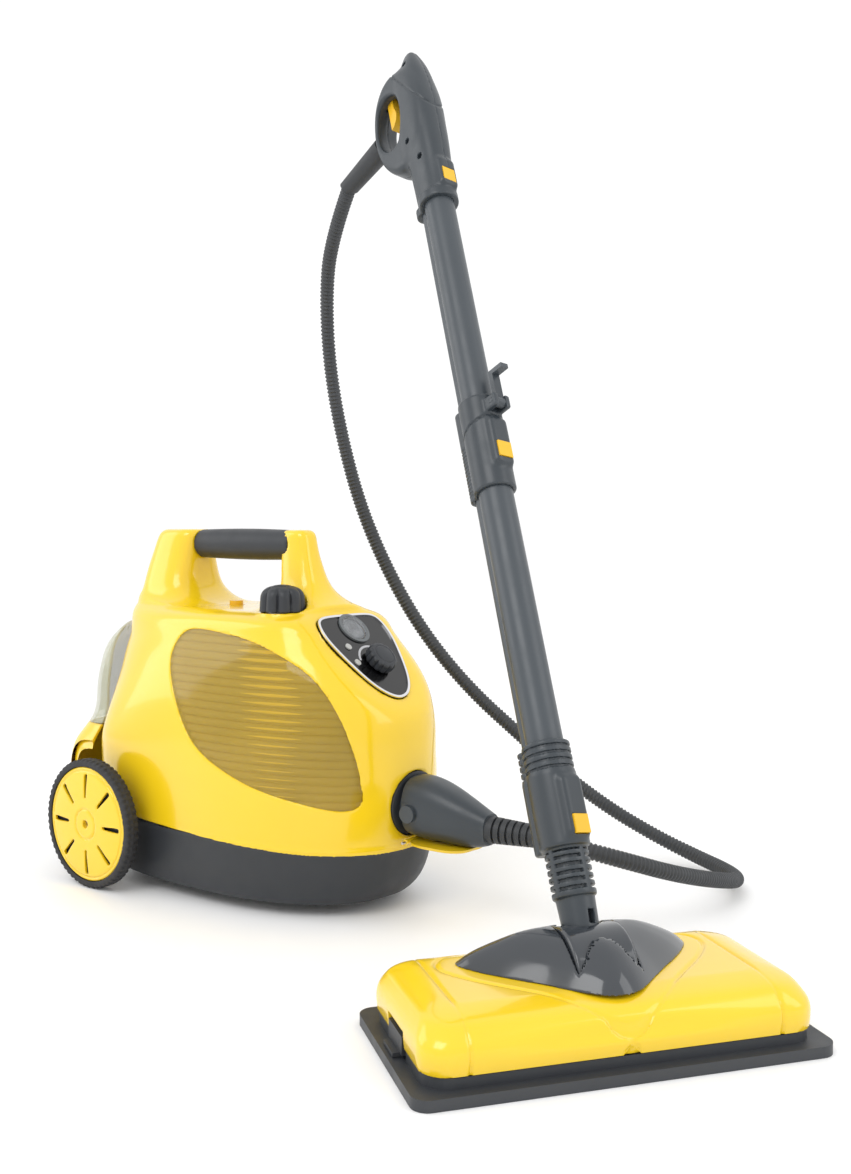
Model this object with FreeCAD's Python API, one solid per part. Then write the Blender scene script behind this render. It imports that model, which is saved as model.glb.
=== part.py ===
import FreeCAD, Part
import math
import os

# Canister steam cleaner with a flexible steam hose, a two-tube wand and a floor head.
# Everything is laid out in the machine frame (mm): X towards the machine's front, Y to its left,
# Z up, zero on the floor under the middle of the rear axle. At the end every piece is moved by
# ORIGIN_MOVE, which puts zero on the floor under the middle of the whole set's box.
V = FreeCAD.Vector
ORIGIN_MOVE = V(-300.9, 84.5, 0)

# ---- driving dimensions, machine ----
WALL = 2.5                 # moulded wall
GAP = 0.4                  # gap round parts that drop into an opening
SEAM_Z = 68.0              # top of the base tub
DECK_Z = 279.0             # flat deck under the carry handle
BASE_Z = 12.0              # underside of the base tub
WHEEL_R = 64.4
DISH = 5.0                 # depth of the hollow in the wheel's inner side
WHEEL_OUT = 140.0          # outer face of the hub cap
WHEEL_IN = 124.0           # inner face of the tyre
AXLE_R = 4.0
GRIP_Z = 342.0             # axis of the carry grip
PANEL_SLOPE = 45.9         # control panel, degrees from level
PANEL_H = 348.7            # distance of the panel plane from the origin line
CAP_X = 182.0
CAP_Y = -45.0
CAP_R = 22.5
PLUG_Z = 104.0
BUTTON_X = 72.0            # power button on the deck
CASTER_X = 215.0
TUB_SCREWS = ((55.0, 72.0), (55.0, -72.0), (170.0, 70.0), (170.0, -70.0))
COVER_PIN_X = -116.0       # hinge pin of the storage cover
COVER_PIN_Z = 84.5
FLAP_PIN_X = 313.5         # hinge pin of the outlet flap
FLAP_Z = 72.0
PIN_R = 1.5
GLAND_R = 6.0              # bore for the power cord's gland
GLAND_Y = 45.0
LINER_HALF = 46.0          # storage tray in the rear wall
LINER_Z0 = 92.0
LINER_Z1 = 224.0
GLAND_Z = 54.0

# ---- driving dimensions, floor head ----
HEAD_AT = V(580.6, -144.8, 0)
HEAD_YAW = 54.3            # degrees from +X to the head's long axis
HEAD_L = 304.0
HEAD_W = 156.0
PLATE_T = 8.0
COVER_TOP = 50.0
HINGE_Z = 45.0
DRUM_R = 35.5              # round shroud that closes the hub's slot as the neck tilts
DRUM_HALF = 22.8

# ---- driving dimensions, wand ----
WAND_LEAN = 27.4           # degrees from upright
WAND_LEAN_YAW = 147.0      # direction it leans to
WAND_FACE_YAW = -15.0      # direction its buttons face before it leans
TUBE_R = 14.0
TUBE_WALL = 1.5
# places along the wand, from the hinge
NECK_TOP = 54.0
BOOT_TOP = 90.0
ADAPTER_TOP = 170.0
LOWER_TUBE_TOP = 412.0
COUPLER_LOW = 388.0
COUPLER_TOP = 474.0
GRIP_LOW = 688.0
GRIP_TOP = 872.0
BUTTON_S = (104.0, 419.0, 709.0)

HOSE_D = 15.0

# Outer shell of the machine by height: z, rear x, half width at the rear, x of the widest place,
# half width there, front x, squareness of the front.
SHELL = (
    (68.0, -51.0, 98.0, 110.0, 108.0, 306.0, 2.4),
    (84.0, -53.0, 99.5, 110.0, 108.0, 307.5, 2.4),
    (100.0, -55.0, 101.0, 110.0, 108.0, 308.5, 2.4),
    (115.0, -56.0, 103.0, 110.0, 108.0, 309.0, 2.4),
    (130.0, -56.0, 104.0, 110.0, 108.0, 309.0, 2.4),
    (144.0, -55.0, 104.0, 110.0, 107.5, 308.5, 2.4),
    (162.0, -53.0, 98.0, 110.0, 106.0, 307.0, 2.5),
    (186.0, -51.0, 86.0, 110.0, 103.0, 303.0, 2.6),
    (212.0, -50.0, 73.0, 112.0, 98.0, 289.0, 2.9),
    (238.0, -50.0, 62.0, 115.0, 90.0, 261.0, 3.6),
    (260.0, -49.0, 53.0, 118.0, 80.0, 238.0, 4.5),
    (274.0, -48.0, 48.0, 120.0, 71.0, 223.0, 5.0),
    (DECK_Z, -46.0, 42.0, 122.0, 62.0, 214.0, 5.0),
)
TUB = (
    (BASE_Z, -42.0, 88.0, 100.0, 101.0, 280.0, 2.3),
    (18.0, -46.0, 92.0, 102.0, 104.5, 287.0, 2.3),
    (40.0, -49.0, 96.0, 106.0, 107.5, 299.0, 2.35),
    (SEAM_Z - 0.5, -51.0, 98.0, 110.0, 108.0, 306.0, 2.4),
)
# storage cover behind the machine: z, back x, half width
COVER = (
    (84.0, -120.0, 78.0),
    (98.0, -118.0, 79.0),
    (112.0, -115.0, 79.0),
    (134.0, -111.0, 76.0),
    (152.0, -103.0, 68.0),
    (187.0, -98.0, 64.0),
    (216.0, -92.0, 60.0),
    (240.0, -80.0, 52.0),
    (252.0, -69.0, 42.0),
    (259.0, -62.5, 34.0),
)
# outline of the side window, x and z
WINDOW = ((73, 236), (87, 259), (142, 258), (196, 248), (246, 224), (276, 184), (289, 132),
          (284, 105), (238, 111), (180, 126), (124, 153), (90, 196))
# handle posts by height: z, inner x, outer x, half width
REAR_POST = ((262, 66, -48.5, 50), (280, 44, -48, 44), (297, 16, -46, 39), (318, 6, -43, 33),
             (338, 3, -37, 28), (352, 2, -31, 24), (356, -2, -26, 20))
FRONT_POST = ((262, 120, 236, 60), (280, 140, 216, 40), (297, 150, 196, 27), (318, 152, 180, 22),
              (338, 152, 171, 18), (352, 151, 166, 16), (356, 153, 163, 13))

# Steam hose: points of its route from the plug's strain relief to the grip's hose tail.
HOSE_ROUTE = (
    (438.0, 8.0, 91.0),
    (475.0, 25.0, 82.0),
    (503.0, 56.0, 69.0),
    (520.0, 98.0, 53.0),
    (529.0, 150.0, 37.0),
    (531.0, 200.0, 24.0),
    (521.0, 245.0, 13.0),
    (493.0, 281.0, 9.0),
    (451.0, 300.0, 12.0),
    (405.0, 297.0, 27.0),
    (358.0, 276.0, 55.0),
    (318.0, 243.0, 94.0),
    (279.0, 219.0, 135.0),
    (228.0, 198.0, 182.0),
    (180.0, 180.0, 240.0),
    (140.0, 168.0, 305.0),
    (106.0, 160.0, 377.0),
    (86.0, 151.0, 454.0),
    (78.0, 139.0, 533.0),
    (89.0, 121.0, 605.0),
    (120.0, 94.0, 660.0),
    (168.0, 70.0, 704.0),
)

# ---- places and tables, machine ----
PANEL_TOP = -44.0          # upper edge of the panel, in panel axes
GAUGE_S = PANEL_TOP + 17.5
KNOB_S = PANEL_TOP + 60.0
# indicator lamps: along and across the panel
LAMPS = ((PANEL_TOP + 38.0, -24.0), (PANEL_TOP + 57.0, -26.0))
BOILER_X = 118.0           # middle of the boiler
BOILER_Z = 140.0
BOILER_R = 58.0
BOILER_HALF = 62.0         # half length of its tank
FILL_X = 150.0             # filler opening in the tank
FILL_Y = -12.0
FILL_R = 8.9
CASTER_R = 12.0
CASTER_TRAIL = 8.0
# hose plug: x, drop below the socket's axis, half width, half height
PLUG_ROWS = ((311.5, 0, 27, 25), (326, -1, 28, 25), (352, -5, 25, 22), (376, -10, 20, 17),
             (394, -12, 14, 12.5))
LATCH_X = 320.0
# carry grip: x, radius
GRIP_BARREL = ((10, 13.2), (16, 14.6), (45, 15.6), (80, 16.0), (115, 15.6), (141, 14.6), (149, 13.6))

# ---- places and tables, floor head ----
HEAD_SCREWS = ((-112.0, 50.0), (112.0, 50.0), (-112.0, -50.0), (112.0, -50.0))
# yellow cover of the floor head by height: z, length, width, corner radius, front pull
COVER_ROWS = ((15.9, 285, 138, 20, 0), (27, 287, 140, 21, 0), (36, 284, 138, 22, 1), (42.5, 277, 132, 23, 4),
              (47.3, 264, 120, 23, 8), (COVER_TOP, 245, 104, 22, 13))
# hub fairing: height above the cover, size
HUB_ROWS = ((0.2, 1.0), (9.0, 0.87), (18.0, 0.68), (27.0, 0.45))
CLIP_X = 138.0             # pad clips' pins
CLIP_Z = 24.0

# ---- places and tables, wand ----
LOWER_TUBE_R = 14.6
BUTTON_FACE = (22.5, 21.5, 20.5)   # distance of the buttons' faces from the wand's axis
HOOK_S = 462.0
HOOK_X = 29.0
# grip body by place along the wand: s, back x, front x, half width
GRIP_ROWS = ((GRIP_LOW, -20, 17, 15), (GRIP_LOW + 30, -21, 18, 15.5), (GRIP_LOW + 62, -22, 20, 17),
             (GRIP_LOW + 92, -24, 20.5, 18), (GRIP_LOW + 122, -24, 19.5, 17.5),
             (GRIP_LOW + 148, -20, 16.5, 15), (GRIP_LOW + 168, -12, 12, 11), (GRIP_TOP, -4, 6, 5))
# guard loop behind the grip: centres (x, s) and half sizes of its outer and inner ovals
LOOP_OUT_AT = (-22.0, 802.0)
LOOP_OUT = (37.0, 57.0)
LOOP_IN_AT = (-32.5, 808.0)
LOOP_IN = (20.0, 31.0)
LOOP_HALF_WIDTH = 15.0
TRIGGER_X = -34.0
TRIGGER_S = 845.0
TAIL_END = (-55.0, 0.0, 806.0)
TAIL_SUNK = 6.0            # how far the tail's end reaches into the guard loop


def closed_spline(points):
    curve = Part.BSplineCurve()
    curve.interpolate(points, PeriodicFlag=True)
    return Part.Wire([curve.toShape()])


def shell_points(row, inset):
    """Closed outline of the machine at one height, pulled in by inset."""
    z, x_rear, w_rear, x_mid, w_mid, x_front, power = row
    x_rear += inset
    x_front -= inset
    w_rear -= inset
    w_mid -= inset
    half = []
    for step in range(0, 7):
        angle = math.radians(15 * step)
        x = x_mid + (x_front - x_mid) * math.cos(angle) ** (2 / power)
        y = w_mid * math.sin(angle) ** (2 / power)
        half.append((x, y))
    for step in range(1, 6):
        angle = math.radians(15 * step)
        t = math.sin(angle) ** 0.4
        width = w_mid + (w_rear - w_mid) * t * t
        half.append((x_mid + (x_rear - x_mid) * t, width * math.cos(angle) ** 0.4))
    half.append((x_rear, 0.0))
    left = [V(x, y, z) for x, y in half]
    right = [V(x, -y, z) for x, y in reversed(half[1:-1])]
    return left + right


def shell_solid(rows, inset=0.0):
    return Part.makeLoft([closed_spline(shell_points(row, inset)) for row in rows], True, False)


def oval_points(z, x0, x1, half_width, power=3.0, count=16):
    """Closed rounded-box outline between x0 and x1."""
    points = []
    for step in range(count):
        angle = 2 * math.pi * step / count
        c = math.cos(angle)
        s = math.sin(angle)
        x = (x0 + x1) / 2 + abs(x1 - x0) / 2 * math.copysign(abs(c) ** (2 / power), c)
        y = half_width * math.copysign(abs(s) ** (2 / power), s)
        points.append(V(x, y, z))
    return points


def oval_loft(rows, power=3.0):
    return Part.makeLoft([closed_spline(oval_points(*row, power)) for row in rows], True, False)


def box(x0, x1, y0, y1, z0, z1):
    return Part.makeBox(x1 - x0, y1 - y0, z1 - z0, V(x0, y0, z0))


def rod(radius, length, at, direction):
    return Part.makeCylinder(radius, length, at, direction)


def placed(shape, at, axis, angle):
    """The shape turned about an axis through the origin, then moved."""
    return shape.transformed(FreeCAD.Placement(at, FreeCAD.Rotation(axis, angle)).toMatrix())


def round_edges(shape):
    return [e for e in shape.Edges if e.Closed and e.Curve.TypeId == "Part::GeomCircle"]


def ring(outer, inner, length, at, direction):
    return rod(outer, length, at, direction).cut(rod(inner, length, at, direction))


def on_panel(shape):
    """From panel axes (X down the slope, Y left, Z out of the panel) to the machine frame."""
    tilt = FreeCAD.Rotation(V(0, 1, 0), PANEL_SLOPE)
    return shape.transformed(FreeCAD.Placement(V(0, 0, 0), tilt).toMatrix())


def head(shape):
    """From head axes (X along the head, Y to its back, Z up) to the machine frame."""
    turn = FreeCAD.Rotation(V(0, 0, 1), HEAD_YAW)
    return shape.transformed(FreeCAD.Placement(HEAD_AT, turn).toMatrix())


def wand_matrix():
    lean = math.radians(WAND_LEAN)
    lean_yaw = math.radians(WAND_LEAN_YAW)
    face = math.radians(WAND_FACE_YAW)
    axis = V(math.sin(lean) * math.cos(lean_yaw), math.sin(lean) * math.sin(lean_yaw), math.cos(lean))
    front = V(math.cos(face), math.sin(face), 0)
    front = front - axis * front.dot(axis)
    front.normalize()
    side = axis.cross(front)
    foot = V(HEAD_AT.x, HEAD_AT.y, HINGE_Z)
    return FreeCAD.Matrix(front.x, side.x, axis.x, foot.x,
                          front.y, side.y, axis.y, foot.y,
                          front.z, side.z, axis.z, foot.z,
                          0, 0, 0, 1)


def wand(shape):
    """From wand axes (X to the button side, Z along the tubes from the hinge) to the machine."""
    return shape.transformed(wand_matrix())


def grown(outline, grow):
    """Closed outline moved outward by grow, along the normal at each of its points."""
    moved = []
    for before, here, after in zip(outline[-1:] + outline[:-1], outline, outline[1:] + outline[:1]):
        dx = after[0] - before[0]
        dy = after[1] - before[1]
        length = math.hypot(dx, dy)
        moved.append((here[0] + grow * dy / length, here[1] - grow * dx / length))
    return moved


def fascia_wire(grow, z):
    """Outline of the control panel: straight top edge, sides drawn in to a round lower end."""
    half = [(103, 0), (100, 11), (88, 24), (64, 36), (39, 44), (17, 46), (5, 41), (0.4, 26), (0, 0)]
    outline = half + [(s, -y) for s, y in reversed(half[1:-1])]
    return closed_spline([V(PANEL_TOP + s, y, z) for s, y in grown(outline, grow)])


def fascia_plate(grow, z0, z1):
    face = Part.Face(fascia_wire(grow, z0))
    return on_panel(face.extrude(V(0, 0, z1 - z0)))


def above_panel(raise_by):
    """Everything outside the sloping panel plane, moved out along its normal."""
    return on_panel(box(-400, 200, -200, 200, PANEL_H + raise_by, PANEL_H + 200))


def window_prism(grow, y0, y1):
    outline = grown(list(reversed(WINDOW)), grow)
    return Part.Face(closed_spline([V(x, y0, z) for x, z in outline])).extrude(V(0, y1 - y0, 0))


def housing_outer():
    body = shell_solid(SHELL).cut(above_panel(0))
    rear_post = oval_loft([(z, a, b, w) for z, a, b, w in REAR_POST])
    front_post = oval_loft([(z, a, b, w) for z, a, b, w in FRONT_POST]).cut(above_post())
    return body.fuse(rear_post).fuse(front_post)


def above_post():
    """Keeps the front post's foot behind the panel's top edge."""
    return on_panel(box(PANEL_TOP - 6, 200, -200, 200, PANEL_H, PANEL_H + 200))


def housing_cavity():
    inner = shell_solid(SHELL, WALL)
    inner = inner.cut(box(-200, 400, -200, 200, DECK_Z - WALL, 400))
    return inner.cut(above_panel(-5.0))


def upper_housing():
    shell = housing_outer().cut(housing_cavity())
    shell = shell.cut(window_prism(0, -130, 130))
    shell = shell.cut(fascia_plate(GAP, PANEL_H - 2.5, PANEL_H + 5))
    shell = shell.cut(fascia_plate(-6.0, PANEL_H - 8, PANEL_H + 5))
    shell = shell.cut(rod(CAP_R + 1.2, 40, V(CAP_X, CAP_Y, DECK_Z), V(0, 0, 1)))
    shell = shell.fuse(rod(CAP_R - 0.5, 5, V(CAP_X, CAP_Y, DECK_Z - 5), V(0, 0, 1)))
    shell = shell.cut(rod(CAP_R - 6.5, 12, V(CAP_X, CAP_Y, DECK_Z - 8), V(0, 0, 1)))
    shell = shell.cut(rod(7.3, 12, V(BUTTON_X, 0, DECK_Z - 8), V(0, 0, 1)))
    shell = shell.cut(rod(30.4, 60, V(270, 0, PLUG_Z), V(1, 0, 0)))
    shell = shell.cut(box(-70, -30, -LINER_HALF - GAP, LINER_HALF + GAP, LINER_Z0 - GAP, LINER_Z1 + GAP))
    shell = shell.cut(on_panel(rod(12.4, 12, V(GAUGE_S, 0, PANEL_H - 6), V(0, 0, 1))))
    shell = shell.cut(rod(AXLE_R + 0.6, 240, V(0, -120, WHEEL_R), V(0, 1, 0)))
    for side in (-1, 1):
        lug = box(300, FLAP_PIN_X + 3, side * 24.5 - 1.5, side * 24.5 + 1.5, FLAP_Z - 3, FLAP_Z + 3)
        shell = shell.fuse(lug)
    shell = shell.cut(rod(1.2, 60, V(FLAP_PIN_X, -30, FLAP_Z), V(0, 1, 0)))
    return shell.cut(rod(10.0, 170, V(-4, 0, GRIP_Z), V(1, 0, 0)))


def base_tub():
    outer = shell_solid(TUB)
    inner = shell_solid(TUB, WALL + 0.5).cut(box(-200, 400, -200, 200, 0, BASE_Z + 3))
    tub = outer.cut(inner)
    tub = tub.cut(box(-200, 400, -200, 200, SEAM_Z - 0.5, 200))
    ledge = oval_loft([(44, -30, -112, 74), (60, -30, -120, 77), (80, -30, -122, 78)], 5.0)
    ledge = ledge.cut(box(-55.5, 0, -200, 200, 0, 200))
    ledge = ledge.cut(box(-108, -57.5, -66, 66, 64, 81))
    ledge = ledge.cut(rod(8, 164, V(COVER_PIN_X, -82, COVER_PIN_Z), V(0, 1, 0)))
    tub = tub.fuse(ledge).fuse(box(-56.5, -48.0, -74, 74, 44.5, 67))
    for side in (-1, 1):
        lug = rod(3.2, 3, V(COVER_PIN_X, side * 62.5 - 1.5, COVER_PIN_Z), V(0, 1, 0))
        y = side * 62.5
        foot = box(COVER_PIN_X - 3.2, COVER_PIN_X + 3.2, y - 1.5, y + 1.5, 74, COVER_PIN_Z)
        tub = tub.fuse(lug).fuse(foot)
    tub = tub.cut(rod(PIN_R, 240, V(COVER_PIN_X, -120, COVER_PIN_Z), V(0, 1, 0)))
    for side in (-1, 1):
        boss = rod(9, 22, V(0, side * 70, WHEEL_R), V(0, side, 0))
        wall = box(-12, 12, min(side * 72, side * 90), max(side * 72, side * 90), BASE_Z + 2, WHEEL_R)
        tub = tub.fuse(boss).fuse(wall)
    tub = tub.cut(rod(AXLE_R + 0.05, 240, V(0, -120, WHEEL_R), V(0, 1, 0)))
    pocket = rod(24, 30, V(CASTER_X, 0, BASE_Z - 1), V(0, 0, 1))
    can = rod(26, 22, V(CASTER_X, 0, BASE_Z + 1), V(0, 0, 1))
    tub = tub.fuse(can).cut(pocket.common(box(0, 400, -50, 50, 0, BASE_Z + 20)))
    tub = tub.fuse(ring(8, 4.05, 12, V(CASTER_X, 0, BASE_Z + 20), V(0, 0, 1)))
    tub = tub.cut(rod(4.05, 40, V(CASTER_X, 0, BASE_Z + 10), V(0, 0, 1)))
    for x, y in TUB_SCREWS:
        tub = tub.fuse(rod(5, 40, V(x, y, BASE_Z + 1), V(0, 0, 1)))
        tub = tub.cut(rod(4.2, 4, V(x, y, BASE_Z - 1), V(0, 0, 1)))
        tub = tub.cut(rod(1.6, 34, V(x, y, BASE_Z), V(0, 0, 1)))
    return tub.cut(rod(GLAND_R, 30, V(-135, GLAND_Y, GLAND_Z), V(1, 0, 0)))


def carry_grip():
    bar = oval_revolve(GRIP_BARREL)
    spigots = rod(10.0, 22, V(-3, 0, GRIP_Z), V(1, 0, 0)).fuse(rod(10.0, 17, V(147, 0, GRIP_Z), V(1, 0, 0)))
    return bar.fuse(spigots)


def oval_revolve(profile):
    """Turned bar along X at the grip's height from x and radius pairs."""
    curve = Part.BSplineCurve()
    curve.interpolate([V(x, 0, GRIP_Z + r) for x, r in profile])
    first = V(profile[0][0], 0, GRIP_Z)
    last = V(profile[-1][0], 0, GRIP_Z)
    edges = [Part.makeLine(first, V(profile[0][0], 0, GRIP_Z + profile[0][1])), curve.toShape(),
             Part.makeLine(V(profile[-1][0], 0, GRIP_Z + profile[-1][1]), last), Part.makeLine(last, first)]
    return Part.Face(Part.Wire(edges)).revolve(first, V(1, 0, 0), 360)


def side_window(side):
    skin = shell_solid(SHELL[1:-1], 0.3).cut(shell_solid(SHELL[1:-1], 2.2))
    y0, y1 = (-130, -30) if side < 0 else (30, 130)
    return skin.common(window_prism(-GAP, y0, y1))


def rib_panel(side):
    skin = shell_solid(SHELL[1:-1], 4.0).cut(shell_solid(SHELL[1:-1], 6.0))
    y0, y1 = (-130, -30) if side < 0 else (30, 130)
    return skin.common(window_prism(3.0, y0, y1))


def control_fascia():
    plate = fascia_plate(0, PANEL_H - 2.5, PANEL_H + 1.2)
    back = fascia_plate(-6.6, PANEL_H - 4.5, PANEL_H - 2.5)
    plate = plate.fuse(back)
    plate = plate.cut(on_panel(rod(12.0, 12, V(GAUGE_S, 0, PANEL_H - 6), V(0, 0, 1))))
    plate = plate.cut(on_panel(rod(3.1, 12, V(KNOB_S, 0, PANEL_H - 6), V(0, 0, 1))))
    for s, y in LAMPS:
        plate = plate.cut(on_panel(rod(2.5, 12, V(s, y, PANEL_H - 6), V(0, 0, 1))))
    return plate


def fascia_trim():
    """Bright rim round the panel."""
    band = fascia_plate(0, PANEL_H + 1.2, PANEL_H + 2.6)
    return band.cut(fascia_plate(-2.4, PANEL_H + 1.0, PANEL_H + 3.0))


def gauge_lens():
    dome = Part.makeSphere(20, V(GAUGE_S, 0, PANEL_H - 11.2))
    return on_panel(dome.common(rod(14.0, 20, V(GAUGE_S, 0, PANEL_H + 1.2), V(0, 0, 1))))


def gauge_body():
    can = rod(11.9, 5.7, V(GAUGE_S, 0, PANEL_H - 4.5), V(0, 0, 1))
    return on_panel(can.fuse(rod(11.0, 10, V(GAUGE_S, 0, PANEL_H - 14.5), V(0, 0, 1))))


def indicator_lamps():
    lamps = []
    for s, y in LAMPS:
        lens = rod(2.5, 6.2, V(s, y, PANEL_H - 4.5), V(0, 0, 1))
        lamps.append(on_panel(lens.fuse(rod(3.4, 1.2, V(s, y, PANEL_H + 1.2), V(0, 0, 1)))))
    return Part.Compound(lamps)


def steam_knob():
    """Round fluted knob; its shaft turns in the panel's bore."""
    body = rod(15.5, 13, V(KNOB_S, 0, PANEL_H + 2.4), V(0, 0, 1))
    body = body.makeFillet(2.5, [e for e in body.Edges if e.Closed and e.BoundBox.ZMin > PANEL_H + 10])
    flutes = [rod(2.4, 14, V(KNOB_S + 17 * math.cos(a), 17 * math.sin(a), PANEL_H + 2), V(0, 0, 1))
              for a in (math.radians(30 * k) for k in range(12))]
    for flute in flutes:
        body = body.cut(flute)
    shaft = rod(3.0, 20, V(KNOB_S, 0, PANEL_H - 15), V(0, 0, 1))
    return on_panel(body.fuse(shaft))


def circuit_board():
    board = box(KNOB_S - 12, KNOB_S + 16, -22, 22, PANEL_H - 13.5, PANEL_H - 12)
    board = board.cut(rod(5.6, 10, V(KNOB_S, 0, PANEL_H - 20), V(0, 0, 1)))
    chips = box(KNOB_S + 8, KNOB_S + 14, -16, 4, PANEL_H - 12, PANEL_H - 7)
    posts = [rod(2.0, 7.5, V(KNOB_S - 9, y, PANEL_H - 12), V(0, 0, 1)) for y in (-19, 19)]
    return on_panel(board.fuse(chips).fuse(posts[0]).fuse(posts[1]))


# ---- inside the machine ----


def boiler_solid(radius, half):
    can = rod(radius, 2 * half, V(BOILER_X - half, 0, BOILER_Z), V(1, 0, 0))
    edges = [e for e in round_edges(can) if len(e.Vertexes) == 1]
    return can.makeFillet(18, edges)


def boiler_tank():
    tank = boiler_solid(BOILER_R, BOILER_HALF).cut(boiler_solid(BOILER_R - 1.5, BOILER_HALF - 1.5))
    tank = tank.cut(filler_slant(FILL_R, 12))
    return tank.cut(rod(5.5, 20, V(BOILER_X + BOILER_HALF - 10, 0, BOILER_Z - 30), V(1, 0, 0)))


def boiler_jacket():
    jacket = rod(BOILER_R + 8, 84, V(BOILER_X - 42, 0, BOILER_Z), V(1, 0, 0))
    jacket = jacket.cut(rod(BOILER_R, 90, V(BOILER_X - 45, 0, BOILER_Z), V(1, 0, 0)))
    return jacket.cut(filler_slant(FILL_R + 3, 12))


def heating_element():
    """Sealed element, one U of tube through the boiler's front end."""
    x = BOILER_X + BOILER_HALF
    flange = rod(16, 3, V(x, 0, BOILER_Z - 30), V(1, 0, 0))
    legs = [rod(3, 62, V(x - 60, y, BOILER_Z - 30), V(1, 0, 0)) for y in (-2.2, 2.2)]
    terminals = rod(3, 9, V(x + 1, 0, BOILER_Z - 30), V(1, 0, 0))
    return flange.fuse(legs[0]).fuse(legs[1]).fuse(terminals)


def filler_slant(radius, extra):
    """Rod along the slanting filler tube, running past both its ends by extra."""
    lower = V(FILL_X, FILL_Y, BOILER_Z + BOILER_R - 6)
    slant = V(CAP_X, CAP_Y, DECK_Z - 14) - lower
    length = slant.Length
    slant.normalize()
    return rod(radius, length + 2 * extra, lower - slant * extra, slant)


def filler_neck():
    """Slanting tube from the cap's threaded seat to the boiler."""
    seat = ring(CAP_R - 7.0, 11.0, 16, V(CAP_X, CAP_Y, DECK_Z - 16), V(0, 0, 1))
    tube = filler_slant(FILL_R, 0).cut(filler_slant(FILL_R - 1.5, 1))
    flange = ring(CAP_R - 7.0, 8.0, 3, V(CAP_X, CAP_Y, DECK_Z - 18.5), V(0, 0, 1))
    return seat.fuse(flange).fuse(tube).cut(rod(11.0, 30, V(CAP_X, CAP_Y, DECK_Z - 15.5), V(0, 0, 1)))


def steam_valve():
    """Solenoid valve between the boiler and the outlet socket."""
    block = box(BOILER_X + 74, BOILER_X + 98, -12, 12, 178, 196)
    coil = rod(13, 26, V(BOILER_X + 86, 0, 196), V(0, 0, 1))
    return block.fuse(coil)


def bent_tube(points, bend, radius):
    """Round tube along straight runs joined by tangent arcs of one radius."""
    path = route_wire(points, lambda run_a, run_b, turn: bend)[0]
    disc = Part.Wire([Part.Circle(points[0], points[1] - points[0], radius).toShape()])
    return path.makePipeShell([disc], True, False)


def steam_pipe():
    """Copper pipe from the valve down to the outlet socket."""
    points = [V(BOILER_X + 98, 0, 187), V(BOILER_X + 118, 0, 187), V(BOILER_X + 134, 0, 160),
              V(BOILER_X + 134, 0, 128), V(BOILER_X + 141, 0, PLUG_Z), V(BOILER_X + 152, 0, PLUG_Z)]
    return bent_tube(points, 8.0, 3.0)


def outlet_socket():
    """Round socket in the nose; the hose plug pushes into its bore."""
    body = ring(30.0, 22.1, 38, V(272, 0, PLUG_Z), V(1, 0, 0))
    back = ring(30.0, 3.0, 3, V(269, 0, PLUG_Z), V(1, 0, 0))
    body = body.fuse(back)
    body = body.cut(box(300, 330, -60, 60, 60, PLUG_Z - 24))
    nose = shell_solid(SHELL[:-1], -1.2)
    return body.common(nose)


def power_button():
    cap = rod(7.0, 10.5, V(BUTTON_X, 0, DECK_Z - 6), V(0, 0, 1))
    return cap.fuse(rod(8.5, 1.5, V(BUTTON_X, 0, DECK_Z - 6), V(0, 0, 1)))


def cord_gland():
    """Bushing for the power cord, with a bore for a cord of 8 mm."""
    collar = ring(10, 4.0, 4, V(-126, GLAND_Y, GLAND_Z), V(1, 0, 0))
    return collar.fuse(ring(GLAND_R, 4.0, 12, V(-122, GLAND_Y, GLAND_Z), V(1, 0, 0)))


def storage_liner():
    """Open tray behind the rear wall that the storage cover closes."""
    outer = box(-51, -14, -LINER_HALF, LINER_HALF, LINER_Z0, LINER_Z1)
    return outer.cut(box(-60, -16, -LINER_HALF + 2, LINER_HALF - 2, LINER_Z0 + 2, LINER_Z1 - 2))


# ---- filler cap ----
def filler_cap():
    body = rod(CAP_R - 1.2, 22, V(CAP_X, CAP_Y, DECK_Z + 0.8), V(0, 0, 1))
    top = [e for e in body.Edges if abs(e.BoundBox.ZMin - (DECK_Z + 22.8)) < 0.1 and e.Closed]
    body = body.makeFillet(5, top[:1])
    for k in range(14):
        angle = 2 * math.pi * k / 14
        rib = rod(3.2, 17, V(CAP_X + 19.3 * math.cos(angle), CAP_Y + 19.3 * math.sin(angle), DECK_Z + 0.8),
                  V(0, 0, 1))
        body = body.fuse(rib)
    return body.cut(rod(6.05, 11, V(CAP_X, CAP_Y, DECK_Z), V(0, 0, 1)))


def cap_plug():
    """Pressure plug with its seal ring; the cap turns on its stem."""
    plug = rod(10.9, 10, V(CAP_X, CAP_Y, DECK_Z - 12), V(0, 0, 1))
    stem = rod(6.0, 12.5, V(CAP_X, CAP_Y, DECK_Z - 2), V(0, 0, 1))
    return plug.fuse(stem)


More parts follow.
